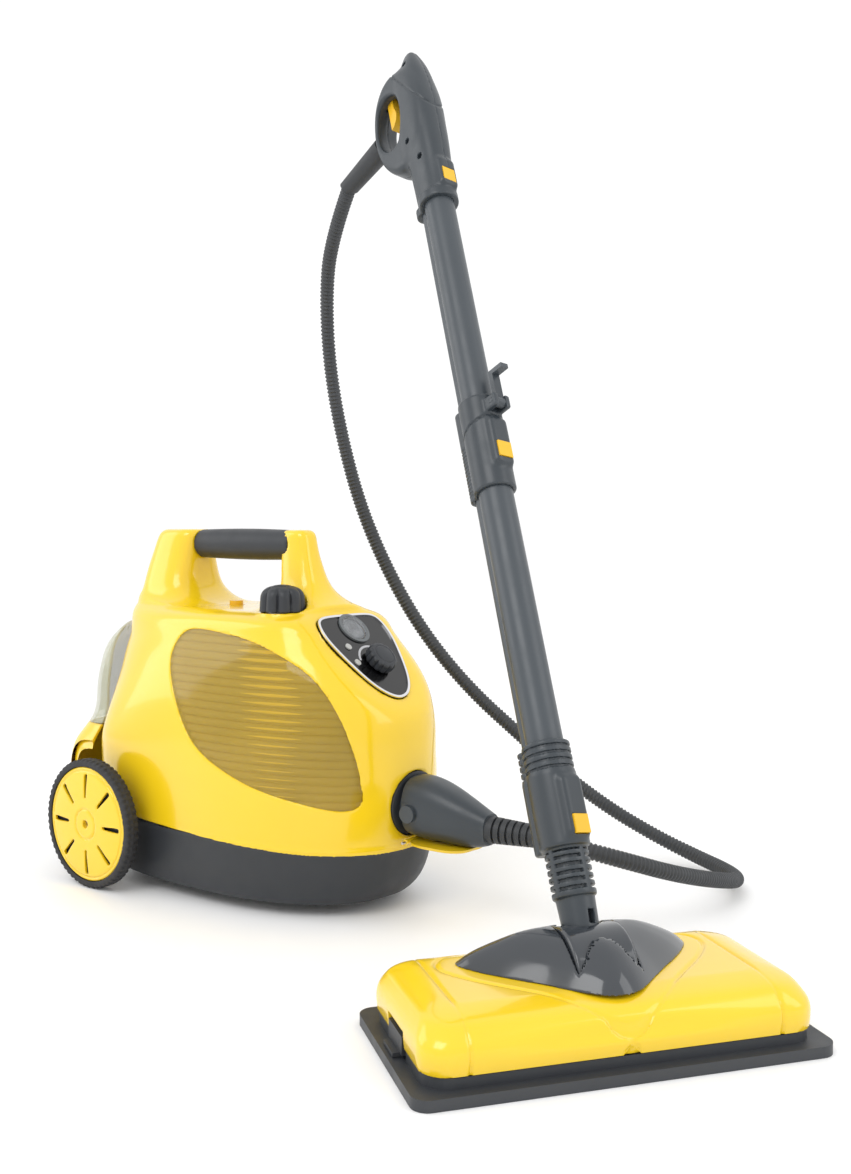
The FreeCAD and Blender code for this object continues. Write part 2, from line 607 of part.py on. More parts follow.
# ---- wheels and caster ----
def wheel(side):
    inner = side * (WHEEL_IN + 4)
    outer = side * WHEEL_OUT
    y0, y1 = min(inner, outer), max(inner, outer)
    hub = rod(WHEEL_R - 7, y1 - y0, V(0, y0, WHEEL_R), V(0, 1, 0))
    dish = rod(WHEEL_R - 12, DISH, V(0, min(inner, inner + side * DISH), WHEEL_R), V(0, 1, 0))
    hub = hub.cut(dish)
    boss = rod(11, y1 - y0, V(0, y0, WHEEL_R), V(0, 1, 0))
    hub = hub.fuse(boss)
    for k in range(8):
        slot = box(30, 48, -2, 2, -1, 2)
        slot = placed(slot, V(0, 0, 0), V(0, 0, 1), 45 * k + 20)
        hub = hub.cut(placed(slot, V(0, side * WHEEL_OUT, WHEEL_R), V(1, 0, 0), 90 * side))
    bore_start = min(side * (WHEEL_OUT - 28), side * (WHEEL_OUT - 4))
    return hub.cut(rod(AXLE_R + 0.05, 24, V(0, bore_start, WHEEL_R), V(0, 1, 0)))


def tyre(side):
    y0 = min(side * WHEEL_IN, side * (WHEEL_OUT - 1.5))
    width = WHEEL_OUT - 1.5 - WHEEL_IN
    outer = rod(WHEEL_R, width, V(0, y0, WHEEL_R), V(0, 1, 0))
    outer = outer.makeFillet(2.5, round_edges(outer))
    return outer.cut(rod(WHEEL_R - 7, width + 2, V(0, y0 - 1, WHEEL_R), V(0, 1, 0)))


def rear_axle():
    return rod(AXLE_R, 270, V(0, -135, WHEEL_R), V(0, 1, 0))


def caster_fork():
    stem = rod(4.0, 21, V(CASTER_X, 0, BASE_Z + 14), V(0, 0, 1))
    plate = rod(15, 3, V(CASTER_X, 0, BASE_Z + 14), V(0, 0, 1))
    fork = stem.fuse(plate)
    for y0 in (-9.5, 7.0):
        cheek = box(CASTER_X - 13, CASTER_X + 4, y0, y0 + 2.5, CASTER_R - 3, BASE_Z + 15)
        fork = fork.fuse(cheek.common(rod(16, 60, V(CASTER_X, 0, 0), V(0, 0, 1))))
    return fork.cut(rod(2.05, 40, V(CASTER_X - CASTER_TRAIL, -20, CASTER_R), V(0, 1, 0)))


def caster_wheel():
    roller = rod(CASTER_R, 13, V(CASTER_X - CASTER_TRAIL, -6.5, CASTER_R), V(0, 1, 0))
    return roller.fuse(rod(2.0, 21, V(CASTER_X - CASTER_TRAIL, -10.5, CASTER_R), V(0, 1, 0)))


# ---- storage cover, outlet flap, hose plug ----
def cover_solid(inset):
    rows = [(z, -57.0 + inset, x + inset, w - inset) for z, x, w in COVER]
    return oval_loft([(z, a, b, w) for z, a, b, w in rows], 5.0)


def rear_cover():
    outer = cover_solid(0)
    inner = cover_solid(2.2).common(box(-200, 0, -200, 200, 0, 256.0))
    shell = outer.cut(inner).cut(box(-59.5, 0, -200, 200, 0, 400))
    barrel = rod(3.0, 120, V(COVER_PIN_X, -60, COVER_PIN_Z), V(0, 1, 0))
    for side in (-1, 1):
        shell = shell.cut(box(-140, -100, side * 62.5 - 2.2, side * 62.5 + 2.2, 80, COVER_PIN_Z + 8))
    return shell.fuse(barrel).cut(rod(PIN_R + 0.05, 240, V(COVER_PIN_X, -120, COVER_PIN_Z), V(0, 1, 0)))


def outlet_flap():
    """Yellow lip below the plug, hinged on the nose."""
    under = (FLAP_Z - 1, FLAP_PIN_X, FLAP_PIN_X + 64, 27)
    over = (FLAP_Z + 1.5, FLAP_PIN_X, FLAP_PIN_X + 65, 28)
    lip = oval_loft([under, over], 3.0)
    for side in (-1, 1):
        lip = lip.cut(box(300, FLAP_PIN_X + 4.5, side * 26 - 4.5, side * 26 + 4.5, 60, 90))
    barrel = rod(2.5, 42, V(FLAP_PIN_X, -21, FLAP_Z), V(0, 1, 0))
    return lip.fuse(barrel).cut(rod(1.25, 60, V(FLAP_PIN_X, -30, FLAP_Z), V(0, 1, 0)))


def pivot_pins():
    """Steel pins of the storage cover, the outlet flap and the floor head's neck."""
    cover_pin = rod(PIN_R, 128, V(COVER_PIN_X, -64, COVER_PIN_Z), V(0, 1, 0))
    flap_pin = rod(1.2, 52, V(FLAP_PIN_X, -26, FLAP_Z), V(0, 1, 0))
    return Part.Compound([cover_pin, flap_pin, hinge_bolt()])


def hose_plug():
    """Plug that pushes into the nose socket, tapering forward to the hose."""
    stem = rod(22.0, 36, V(276, 0, PLUG_Z), V(1, 0, 0))
    body = oval_x(PLUG_ROWS)
    return stem.fuse(body).cut(plug_latch_bore())


def oval_x(rows, power=2.6, count=16):
    """Loft along X of upright ovals: x, drop below the plug axis, half height, half width."""
    wires = []
    for x, drop, half_height, half_width in rows:
        points = []
        for step in range(count):
            angle = 2 * math.pi * step / count
            c = math.cos(angle)
            s = math.sin(angle)
            y = half_width * math.copysign(abs(c) ** (2 / power), c)
            z = PLUG_Z + drop + half_height * math.copysign(abs(s) ** (2 / power), s)
            points.append(V(x, y, z))
        wires.append(closed_spline(points))
    return Part.makeLoft(wires, True, False)


def plug_latch_bore():
    return rod(8.1, 15, V(LATCH_X, -32, PLUG_Z - 4), V(0, 1, 0))


def plug_latch():
    """Round release button on the plug's side."""
    return rod(8.05, 8.5, V(LATCH_X, -28.5, PLUG_Z - 4), V(0, 1, 0))


def beyond(at, direction):
    """A wide disc of space starting at a point and reaching along a direction."""
    return rod(60, 60, at, direction)


def plug_strain_relief():
    """Tapered ribbed sleeve from the plug to the hose."""
    start = V(390, 0, PLUG_Z - 12)
    points = route_points()
    along = points[0] - start
    cone = Part.makeCone(12.4, 9.6, along.Length + 6, start, along)
    for k in range(6):
        at = start + along * ((k + 1.3) / 7.4)
        groove = ring(14, 9.4 - 0.2 * k, 2.2, at, along)
        cone = cone.cut(groove)
    cone = cone.cut(box(370, 394, -40, 40, 40, 150))
    return cone.cut(beyond(points[0], points[1] - points[0]))


# ---- steam hose ----
def route_points():
    return [V(*p) for p in HOSE_ROUTE]


def widest_bend(run_a, run_b, turn):
    return 0.45 * min(run_a, run_b) / math.tan(turn / 2)


def route_wire(points, bend_radius):
    """Straight runs joined by tangent arcs; also gives the arcs' radii."""
    edges = []
    radii = []
    last = points[0]
    for before, corner, after in zip(points, points[1:], points[2:]):
        into = corner - before
        out = after - corner
        turn = into.getAngle(out)
        radius = bend_radius(into.Length, out.Length, turn)
        cut = radius * math.tan(turn / 2)
        start = corner - into.normalize() * cut
        end = corner + out.normalize() * cut
        inward = (out - into).normalize()
        middle = corner + inward * (radius / math.cos(turn / 2) - radius)
        edges.append(Part.LineSegment(last, start).toShape())
        edges.append(Part.Arc(start, middle, end).toShape())
        radii.append(radius)
        last = end
    edges.append(Part.LineSegment(last, points[-1]).toShape())
    return Part.Wire(edges), radii


def steam_hose():
    points = route_points()
    path, radii = route_wire(points, widest_bend)
    disc = Part.Wire([Part.Circle(points[0], points[1] - points[0], HOSE_D / 2).toShape()])
    tube = path.makePipeShell([disc], True, False)
    ideal = math.pi * HOSE_D ** 2 / 4 * path.Length
    print("hose length", round(path.Length, 1), "volume / ideal", round(tube.Volume / ideal, 4))
    print("hose radii", [round(r) for r in radii])
    return tube


# ---- floor head ----
def slab(length, width, radius, z0, z1):
    """Upright block with rounded corners, centred on the head."""
    block = box(-length / 2, length / 2, -width / 2, width / 2, z0, z1)
    upright = [e for e in block.Edges if abs(e.BoundBox.ZLength - (z1 - z0)) < 0.01]
    return block.makeFillet(radius, upright)


def sole_plate():
    plate = slab(HEAD_L, HEAD_W, 12, 0, PLATE_T)
    plate = plate.cut(slab(HEAD_L - 60, HEAD_W - 60, 8, PLATE_T - 3, PLATE_T + 1))
    for x in (-90, -45, 0, 45, 90):
        for y in (-30, 0, 30):
            plate = plate.cut(rod(2.0, 20, V(x, y, -1), V(0, 0, 1)))
    for x, y in HEAD_SCREWS:
        plate = plate.cut(rod(4.2, 3.2, V(x, y, -0.5), V(0, 0, 1)))
        plate = plate.cut(rod(1.6, 20, V(x, y, 0), V(0, 0, 1)))
    return head(plate)


def head_skirt():
    """Dark base frame of the head, standing on the plate inside the yellow cover."""
    frame = slab(HEAD_L - 27, 130, 18, PLATE_T, 21).fuse(slab(HEAD_L - 21, 136, 20, PLATE_T, 15.5))
    frame = frame.cut(slab(HEAD_L - 49, 108, 10, PLATE_T - 1, 22))
    for x, y in HEAD_SCREWS:
        frame = frame.fuse(rod(6, 12, V(x, y, PLATE_T), V(0, 0, 1)))
        frame = frame.cut(rod(1.6, 12, V(x, y, PLATE_T - 1), V(0, 0, 1)))
    bridge = box(-42, 42, -56, 56, 15, 18)
    bridge = bridge.cut(rod(6, 20, V(0, 0, 5), V(0, 0, 1)))
    yoke_walls = box(-33, -28.2, -8, 10, 18, HINGE_Z + 5).fuse(box(28.2, 33, -8, 10, 18, HINGE_Z + 5))
    frame = frame.fuse(bridge).fuse(yoke_walls)
    frame = frame.cut(rod(3.0, 90, V(-45, 0, HINGE_Z), V(1, 0, 0)))
    for side in (-1, 1):
        inner = side * (CLIP_X - 4.5)
        outer = side * (CLIP_X + 6.5)
        frame = frame.cut(box(min(inner, outer), max(inner, outer), -20, 20, PLATE_T + 0.4, 30))
    return head(frame)


def cover_outline(z, length, width, radius, front_pull):
    """Rounded rectangle at one height, its front edge pulled back a little."""
    x = length / 2
    back = width / 2
    front = -width / 2 + front_pull
    k = radius * (1 - math.sqrt(0.5))
    corners = ((x, back, 1, 1), (-x, back, -1, 1), (-x, front, -1, -1), (x, front, 1, -1))
    points = []
    for cx, cy, sx, sy in corners:
        on_x = V(cx, cy - sy * radius, z)
        on_y = V(cx - sx * radius, cy, z)
        middle = V(cx - sx * k, cy - sy * k, z)
        points.append((on_x, middle, on_y) if sx == sy else (on_y, middle, on_x))
    edges = []
    for here, after in zip(points, points[1:] + points[:1]):
        edges.append(Part.Arc(*here).toShape())
        edges.append(Part.makeLine(here[2], after[0]))
    return Part.Wire(edges)


def head_cover():
    outer = Part.makeLoft([cover_outline(*row) for row in COVER_ROWS], True, False)
    inner_rows = [(z - 2.5, a - 5, b - 5, r - 2, c) for z, a, b, r, c in COVER_ROWS]
    inner = Part.makeLoft([cover_outline(*row) for row in inner_rows], True, False)
    cover = outer.cut(inner)
    for side in (-1, 1):
        x = side * (CLIP_X - 3.5)
        cover = cover.cut(box(min(x, x + side * 14), max(x, x + side * 14), -19, 19, 10, 28))
    opening = box(-25, 25, -28, 40, 10, 70).fuse(box(-34.5, 34.5, -10, 12, 10, 70))
    return head(cover.cut(opening))


def hub_outline(z, scale):
    outline = ((0, -50), (40, -20), (78, 14), (88, 36), (60, 48), (0, 52), (-60, 48), (-88, 36), (-78, 14),
               (-40, -20))
    return closed_spline([V(x * scale, y * scale, z) for x, y in outline])


def head_hub():
    """Dark three-cornered fairing on the cover, open at the top and back for the neck."""
    outer = Part.makeLoft([hub_outline(COVER_TOP + z, k) for z, k in HUB_ROWS], True, False)
    inner = Part.makeLoft([hub_outline(COVER_TOP + z - 3.0, k - 0.04) for z, k in HUB_ROWS], True, False)
    fairing = outer.cut(inner)
    half = DRUM_HALF + 0.8
    fairing = fairing.cut(rod(DRUM_R + 0.8, 2 * half, V(-half, 0, HINGE_Z), V(1, 0, 0)))
    return head(fairing.cut(box(-17.5, 17.5, 8, 70, COVER_TOP + 0.5, 120)))


def hinge_bolt():
    return head(rod(2.95, 70, V(-35, 0, HINGE_Z), V(1, 0, 0)))


def cloth_clip(side):
    """Sprung lever at the head's end that holds a cloth."""
    x = side * (CLIP_X + 1.5)
    arm = box(min(x, x + side * 4), max(x, x + side * 4), -17, 17, PLATE_T + 3, CLIP_Z)
    tab = box(min(x, x + side * 9), max(x, x + side * 9), -12, 12, PLATE_T + 0.6, PLATE_T + 3.6)
    barrel = rod(2.4, 34, V(side * CLIP_X, -17, CLIP_Z), V(0, 1, 0))
    link = box(min(side * CLIP_X, x + side), max(side * CLIP_X, x + side), -17, 17, CLIP_Z - 2, CLIP_Z)
    return head(arm.fuse(tab).fuse(barrel).fuse(link))


# ---- wand ----
def tube_solid(radius, s0, s1):
    main = rod(radius, s1 - s0, V(0, 0, s0), V(0, 0, 1))
    channel_r = radius * 0.48
    back = rod(channel_r, s1 - s0, V(-radius - 1.0, 0, s0), V(0, 0, 1))
    web = box(-radius - 1.0, 0, -channel_r, channel_r, s0, s1)
    return main.fuse(back).fuse(web)


def neck_yoke():
    """Pivot piece: cross barrel on the hinge bolt with a spigot up the wand's neck."""
    barrel = head(rod(9.0, 56, V(-28, 0, HINGE_Z), V(1, 0, 0)))
    spigot = wand(rod(9.0, 62, V(0, 0, 0), V(0, 0, 1)))
    above = wand(box(-60, 60, -60, 60, 6, 60))
    drum = head(ring(DRUM_R, DRUM_R - 3.0, 2 * DRUM_HALF, V(-DRUM_HALF, 0, HINGE_Z), V(1, 0, 0)))
    for x in (-DRUM_HALF, DRUM_HALF - 3.0):
        drum = drum.fuse(head(rod(DRUM_R - 1, 3.0, V(x, 0, HINGE_Z), V(1, 0, 0))))
    drum = drum.common(above).cut(wand(rod(15.2, 60, V(0, 0, 10), V(0, 0, 1))))
    bore = head(rod(3.0, 80, V(-40, 0, HINGE_Z), V(1, 0, 0)))
    return barrel.fuse(spigot).fuse(drum).cut(bore)


def wand_adapter():
    """Neck, slotted boot and latch housing at the wand's lower end."""
    neck = Part.makeCone(13.0, 14.5, NECK_TOP - 22, V(0, 0, 22), V(0, 0, 1))
    boot = rod(16.5, BOOT_TOP - NECK_TOP, V(0, 0, NECK_TOP), V(0, 0, 1))
    for k in range(6):
        s = NECK_TOP + 6 + 6.0 * k
        boot = boot.cut(ring(18, 13.2, 2.6, V(0, 0, s), V(0, 0, 1)))
    spine = box(12, 17, -1.5, 1.5, NECK_TOP, BOOT_TOP)
    housing = tube_solid(19.0, BOOT_TOP, ADAPTER_TOP - 24)
    collar = tube_solid(18.5, ADAPTER_TOP - 24, ADAPTER_TOP)
    for k in range(4):
        s = ADAPTER_TOP - 22 + 5.5 * k
        collar = collar.cut(tube_solid(22, s, s + 2.4).cut(tube_solid(16.6, s - 1, s + 4)))
    body = neck.fuse(boot).fuse(spine).fuse(housing).fuse(collar)
    body = body.cut(rod(9.05, 42, V(0, 0, 21), V(0, 0, 1)))
    body = body.cut(rod(7.0, 60, V(0, 0, 60), V(0, 0, 1)))
    body = body.cut(tube_solid(LOWER_TUBE_R, ADAPTER_TOP - 52, ADAPTER_TOP + 1))
    return wand(body.cut(button_bore(BUTTON_S[0])))


def button_bore(s):
    return box(8, 26, -7.2, 7.2, s - 7.2, s + 7.2)


def latch_button(index):
    s = BUTTON_S[index]
    key = box(17.2, BUTTON_FACE[index], -7.0, 7.0, s - 7.0, s + 7.0)
    return wand(key)


def wand_tube(radius, s0, s1):
    return wand(tube_solid(radius, s0, s1).cut(tube_solid(radius - TUBE_WALL, s0 - 1, s1 + 1)))


def lower_tube():
    return wand_tube(LOWER_TUBE_R, ADAPTER_TOP - 52, LOWER_TUBE_TOP)


def upper_tube():
    return wand_tube(TUBE_R, LOWER_TUBE_TOP + 2, GRIP_LOW + 34)


def wand_coupler():
    """Latch sleeve that joins the two tubes, with the post of the swinging hook."""
    sleeve = tube_solid(18.0, COUPLER_LOW, COUPLER_TOP)
    sleeve = sleeve.cut(tube_solid(LOWER_TUBE_R, COUPLER_LOW - 1, LOWER_TUBE_TOP))
    sleeve = sleeve.cut(tube_solid(TUBE_R, LOWER_TUBE_TOP - 1, COUPLER_TOP + 1))
    for k in range(7):
        groove = ring(20, 17.2, 1.6, V(0, 0, COUPLER_LOW + 4 + 4 * k), V(0, 0, 1))
        sleeve = sleeve.cut(groove.common(box(-40, 4, -30, 30, 0, 900)))
    post = box(14, HOOK_X, -9, 9, HOOK_S - 6, HOOK_S + 6)
    post = post.cut(box(14, HOOK_X + 1, -4.3, 4.3, HOOK_S - 7, HOOK_S + 7))
    post = post.cut(tube_solid(17.5, HOOK_S - 20, HOOK_S + 20))
    sleeve = sleeve.fuse(post).cut(rod(2.0, 40, V(HOOK_X - 5, -20, HOOK_S), V(0, 1, 0)))
    return wand(sleeve.cut(button_bore(BUTTON_S[1])))


def hook_lever():
    """Upright hook on the coupler that holds the hose; it swings outward on its pin."""
    pivot = rod(4.5, 8, V(HOOK_X - 5, -4, HOOK_S), V(0, 1, 0))
    arm = box(HOOK_X - 6.5, HOOK_X - 2, -4, 4, HOOK_S, HOOK_S + 30)
    nose = box(HOOK_X - 6.5, HOOK_X + 10, -4, 4, HOOK_S + 26, HOOK_S + 30)
    pin = rod(1.95, 18, V(HOOK_X - 5, -9, HOOK_S), V(0, 1, 0))
    return wand(pivot.fuse(arm).fuse(nose).fuse(pin))


def oval_prism(centre, half, half_y):
    """Upright oval block across the wand's plane."""
    points = []
    for step in range(16):
        angle = 2 * math.pi * step / 16
        x = centre[0] + half[0] * math.cos(angle)
        points.append(V(x, -half_y, centre[1] + half[1] * math.sin(angle)))
    return Part.Face(closed_spline(points)).extrude(V(0, 2 * half_y, 0))


def grip_solid():
    body = oval_loft([(s, a, b, w) for s, a, b, w in GRIP_ROWS], 2.6)
    loop = oval_prism(LOOP_OUT_AT, LOOP_OUT, LOOP_HALF_WIDTH)
    body = body.fuse(loop).cut(oval_prism(LOOP_IN_AT, LOOP_IN, 30))
    body = body.cut(tube_solid(TUBE_R, GRIP_LOW - 1, GRIP_LOW + 34))
    body = body.cut(rod(5, 60, V(0, 0, GRIP_LOW), V(0, 0, 1)))
    body = body.cut(button_bore(BUTTON_S[2]))
    body = body.cut(trigger_space())
    body = body.cut(rod(2.0, 16, V(TRIGGER_X, -8, TRIGGER_S), V(0, 1, 0)))
    return body.cut(wand_cone(9.0))


def trigger_space():
    return box(TRIGGER_X - 8.5, TRIGGER_X + 8, -5.4, 5.4, 812, TRIGGER_S + 5)


def grip_half(side):
    half = box(-120, 60, 0, 60, 600, 900) if side > 0 else box(-120, 60, -60, 0, 600, 900)
    return wand(grip_solid().common(half))


def trigger():
    lever = box(TRIGGER_X - 5, TRIGGER_X + 3, -5, 5, 818, TRIGGER_S + 3)
    blade = rod(14, 10, V(TRIGGER_X - 9, -5, 822), V(0, 1, 0))
    blade = blade.common(box(TRIGGER_X - 5, TRIGGER_X + 8, -6, 6, 806, 838))
    pin = rod(1.95, 14, V(TRIGGER_X, -7, TRIGGER_S), V(0, 1, 0))
    return wand(lever.fuse(blade).fuse(pin))


def wand_cone(radius):
    """Straight bore, in wand axes, that the hose tail's end sits in."""
    end = V(*TAIL_END)
    start = wand_matrix().inverse().multVec(route_points()[-1])
    along = end - start
    return rod(radius, 24, end - along * (TAIL_SUNK / along.Length), along)


def hose_tail():
    """Bending sleeve that leads the hose into the grip's guard loop."""
    points = route_points()
    hose_end = points[-1]
    along = wand_matrix().multVec(V(*TAIL_END)) - hose_end
    start = hose_end - along * (6 / along.Length)
    cone = Part.makeCone(9.0, 11.0, along.Length + 5.9 - TAIL_SUNK, start, along)
    neck = rod(8.9, along.Length + 5.9, start, along)
    return cone.fuse(neck).cut(beyond(hose_end, points[-2] - hose_end))


def screws():
    """Identical self-tapping screws of the tub and the floor head."""
    group = []
    for x, y in TUB_SCREWS:
        shank = rod(1.6, 26, V(x, y, BASE_Z + 1), V(0, 0, 1))
        group.append(rod(4.0, 2.4, V(x, y, BASE_Z + 0.4), V(0, 0, 1)).fuse(shank))
    for x, y in HEAD_SCREWS:
        screw = rod(4.0, 2.2, V(x, y, 0.5), V(0, 0, 1)).fuse(rod(1.6, 17, V(x, y, 1), V(0, 0, 1)))
        group.append(head(screw))
    return Part.Compound(group)


def write_node(name, shape):
    shape = shape.copy()
    shape.translate(ORIGIN_MOVE)
    shape.exportStep("parts/" + name + ".step")


NODES = {
    "base_tub": base_tub,
    "upper_housing": upper_housing,
    "carry_grip": carry_grip,
    "side_window_left": lambda: side_window(1),
    "side_window_right": lambda: side_window(-1),
    "rib_panel_left": lambda: rib_panel(1),
    "rib_panel_right": lambda: rib_panel(-1),
    "control_fascia": control_fascia,
    "fascia_trim": fascia_trim,
    "gauge_lens": gauge_lens,
    "gauge_body": gauge_body,
    "indicator_lamps": indicator_lamps,
    "circuit_board": circuit_board,
    "boiler_tank": boiler_tank,
    "boiler_jacket": boiler_jacket,
    "heating_element": heating_element,
    "filler_neck": filler_neck,
    "steam_valve": steam_valve,
    "steam_pipe": steam_pipe,
    "outlet_socket": outlet_socket,
    "cord_gland": cord_gland,
    "storage_liner": storage_liner,
    "rear_axle": rear_axle,
    "pivot_pins": pivot_pins,
    "screws": screws,
    "hose_plug": hose_plug,
    "plug_strain_relief": plug_strain_relief,
    "steam_hose": steam_hose,
    "sole_plate": sole_plate,
    "head_skirt": head_skirt,
    "head_cover": head_cover,
    "head_hub": head_hub,
    "wheel_left": lambda: wheel(1),
    "wheel_right": lambda: wheel(-1),
    "tyre_left": lambda: tyre(1),
    "tyre_right": lambda: tyre(-1),
    "caster_fork": caster_fork,
    "caster_wheel": caster_wheel,
    "filler_cap": filler_cap,
    "cap_plug": cap_plug,
    "steam_knob": steam_knob,
    "power_button": power_button,
    "rear_cover": rear_cover,
    "outlet_flap": outlet_flap,
    "plug_latch": plug_latch,
    "neck_yoke": neck_yoke,
    "wand_adapter": wand_adapter,
    "lower_tube": lower_tube,
    "upper_tube": upper_tube,
    "wand_coupler": wand_coupler,
    "grip_left": lambda: grip_half(1),
    "grip_right": lambda: grip_half(-1),
    "button_low": lambda: latch_button(0),
    "button_middle": lambda: latch_button(1),
    "button_top": lambda: latch_button(2),
    "trigger": trigger,
    "hook_lever": hook_lever,
    "cloth_clip_left": lambda: cloth_clip(-1),
    "cloth_clip_right": lambda: cloth_clip(1),
    "hose_tail": hose_tail,
}

os.makedirs("parts", exist_ok=True)
for node_name, make_node in NODES.items():
    write_node(node_name, make_node())
print("nodes", len(NODES))
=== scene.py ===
import math

import bpy
import numpy as np
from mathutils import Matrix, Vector


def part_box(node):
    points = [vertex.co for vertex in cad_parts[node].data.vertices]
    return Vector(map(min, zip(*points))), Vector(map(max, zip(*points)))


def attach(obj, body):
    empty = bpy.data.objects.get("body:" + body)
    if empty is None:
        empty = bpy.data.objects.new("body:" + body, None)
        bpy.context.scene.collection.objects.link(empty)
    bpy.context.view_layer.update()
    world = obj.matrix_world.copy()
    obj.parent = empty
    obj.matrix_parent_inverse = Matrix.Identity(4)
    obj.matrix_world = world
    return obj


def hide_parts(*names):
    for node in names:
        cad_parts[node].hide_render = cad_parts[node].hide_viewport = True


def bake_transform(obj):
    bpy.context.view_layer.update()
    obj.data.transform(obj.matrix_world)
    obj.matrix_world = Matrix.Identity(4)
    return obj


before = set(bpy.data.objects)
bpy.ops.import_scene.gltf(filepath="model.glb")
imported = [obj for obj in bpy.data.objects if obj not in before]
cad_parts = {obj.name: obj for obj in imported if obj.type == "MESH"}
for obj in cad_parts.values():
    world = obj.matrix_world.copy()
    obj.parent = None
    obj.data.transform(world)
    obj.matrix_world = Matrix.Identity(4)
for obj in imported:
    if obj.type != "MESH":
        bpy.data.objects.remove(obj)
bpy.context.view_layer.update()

# The looks of a canister steam cleaner. Every shape is worked out in the machine's own axes, in
# millimetres: X to its nose, Y to its left, Z up, zero on the floor under the middle of the rear
# axle. ORIGIN moves it into the frame, in metres.
axle_low, axle_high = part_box("rear_axle")
ORIGIN = np.array([(axle_low[0] + axle_high[0]) / 2, (axle_low[1] + axle_high[1]) / 2, 0.0])


def place(points):
    """Machine millimetres to frame metres."""
    return np.asarray(points, float) / 1000 + ORIGIN


# ---------------------------------------------------------------- camera
CAMERA_AT = np.array([1.0252, -0.9084, 0.3694])     # in the machine's axes, metres
CAMERA_AZIMUTH = math.radians(37.81)
CAMERA_PITCH = math.radians(3.17)
CAMERA_LENS = 38.55


def make_camera():
    data = bpy.data.cameras.new("camera")
    data.lens = CAMERA_LENS
    data.sensor_width = 36.0
    data.clip_start = 0.02
    camera = bpy.data.objects.new("camera", data)
    bpy.context.scene.collection.objects.link(camera)
    camera.location = CAMERA_AT + ORIGIN
    level = math.cos(CAMERA_PITCH)
    ahead = Vector((-math.sin(CAMERA_AZIMUTH) * level, math.cos(CAMERA_AZIMUTH) * level,
                    -math.sin(CAMERA_PITCH)))
    camera.rotation_mode = "QUATERNION"
    camera.rotation_quaternion = ahead.to_track_quat("-Z", "Y")
    bpy.context.scene.camera = camera


# ---------------------------------------------------------------- wand and floor head axes
HEAD_AT = np.array([580.6, -144.8, 0.0])
HEAD_YAW = math.radians(54.3)
HINGE_Z = 45.0
WAND_LEAN = math.radians(27.4)
WAND_LEAN_YAW = math.radians(147.0)
WAND_FACE_YAW = math.radians(-15.0)


def wand_axes():
    """Rows: the button side, the left side and the tubes' direction."""
    level = math.sin(WAND_LEAN)
    along = np.array([level * math.cos(WAND_LEAN_YAW), level * math.sin(WAND_LEAN_YAW),
                      math.cos(WAND_LEAN)])
    front = np.array([math.cos(WAND_FACE_YAW), math.sin(WAND_FACE_YAW), 0.0])
    front = front - along * (front @ along)
    front /= np.linalg.norm(front)
    return np.array([front, np.cross(along, front), along])


WAND_AXES = wand_axes()
WAND_FOOT = HEAD_AT + np.array([0, 0, HINGE_Z])
HEAD_AXES = np.array([[math.cos(HEAD_YAW), math.sin(HEAD_YAW), 0],
                      [-math.sin(HEAD_YAW), math.cos(HEAD_YAW), 0], [0, 0, 1]])


def from_wand(points):
    return np.asarray(points, float) @ WAND_AXES + WAND_FOOT


def from_head(points):
    return np.asarray(points, float) @ HEAD_AXES + HEAD_AT


PANEL_SLOPE = math.radians(45.9)
PANEL_H = 348.7
PANEL_AXES = np.array([[math.cos(PANEL_SLOPE), 0, -math.sin(PANEL_SLOPE)], [0, 1, 0],
                       [math.sin(PANEL_SLOPE), 0, math.cos(PANEL_SLOPE)]])


def from_panel(points):
    return np.asarray(points, float) @ PANEL_AXES


def cell_size(fine):
    """Size of the sampling grid."""
    return fine


def as_is(points):
    return np.asarray(points, float)


# ---------------------------------------------------------------- meshes
def new_piece(name, points, faces, body, look, sharp=None):
    """A smooth mesh piece in the frame's metres that rides on a body; look picks its material."""
    mesh = bpy.data.meshes.new(name)
    mesh.from_pydata([tuple(p) for p in points], [], [tuple(int(i) for i in f) for f in faces])
    mesh.validate()
    obj = bpy.data.objects.new(name, mesh)
    bpy.context.scene.collection.objects.link(obj)
    mesh.shade_smooth()
    if sharp is not None:
        mesh.set_sharp_from_angle(angle=math.radians(sharp))
    mesh.materials.append(M[look])
    if body:
        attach(obj, body)
    return obj


def grid_faces(rows, columns, closed):
    """Quads between rows of points; closed joins each row's last point to its first."""
    faces = []
    last = columns if closed else columns - 1
    for r in range(rows - 1):
        for c in range(last):
            d = (c + 1) % columns
            faces.append((r * columns + c, r * columns + d, (r + 1) * columns + d, (r + 1) * columns + c))
    return faces


# ---------------------------------------------------------------- shapes from distance fields
def smooth_min(a, b, k):
    h = np.clip(0.5 + 0.5 * (b - a) / k, 0, 1)
    return b + (a - b) * h - k * h * (1 - h)


def smooth_max(a, b, k):
    return -smooth_min(-a, -b, k)


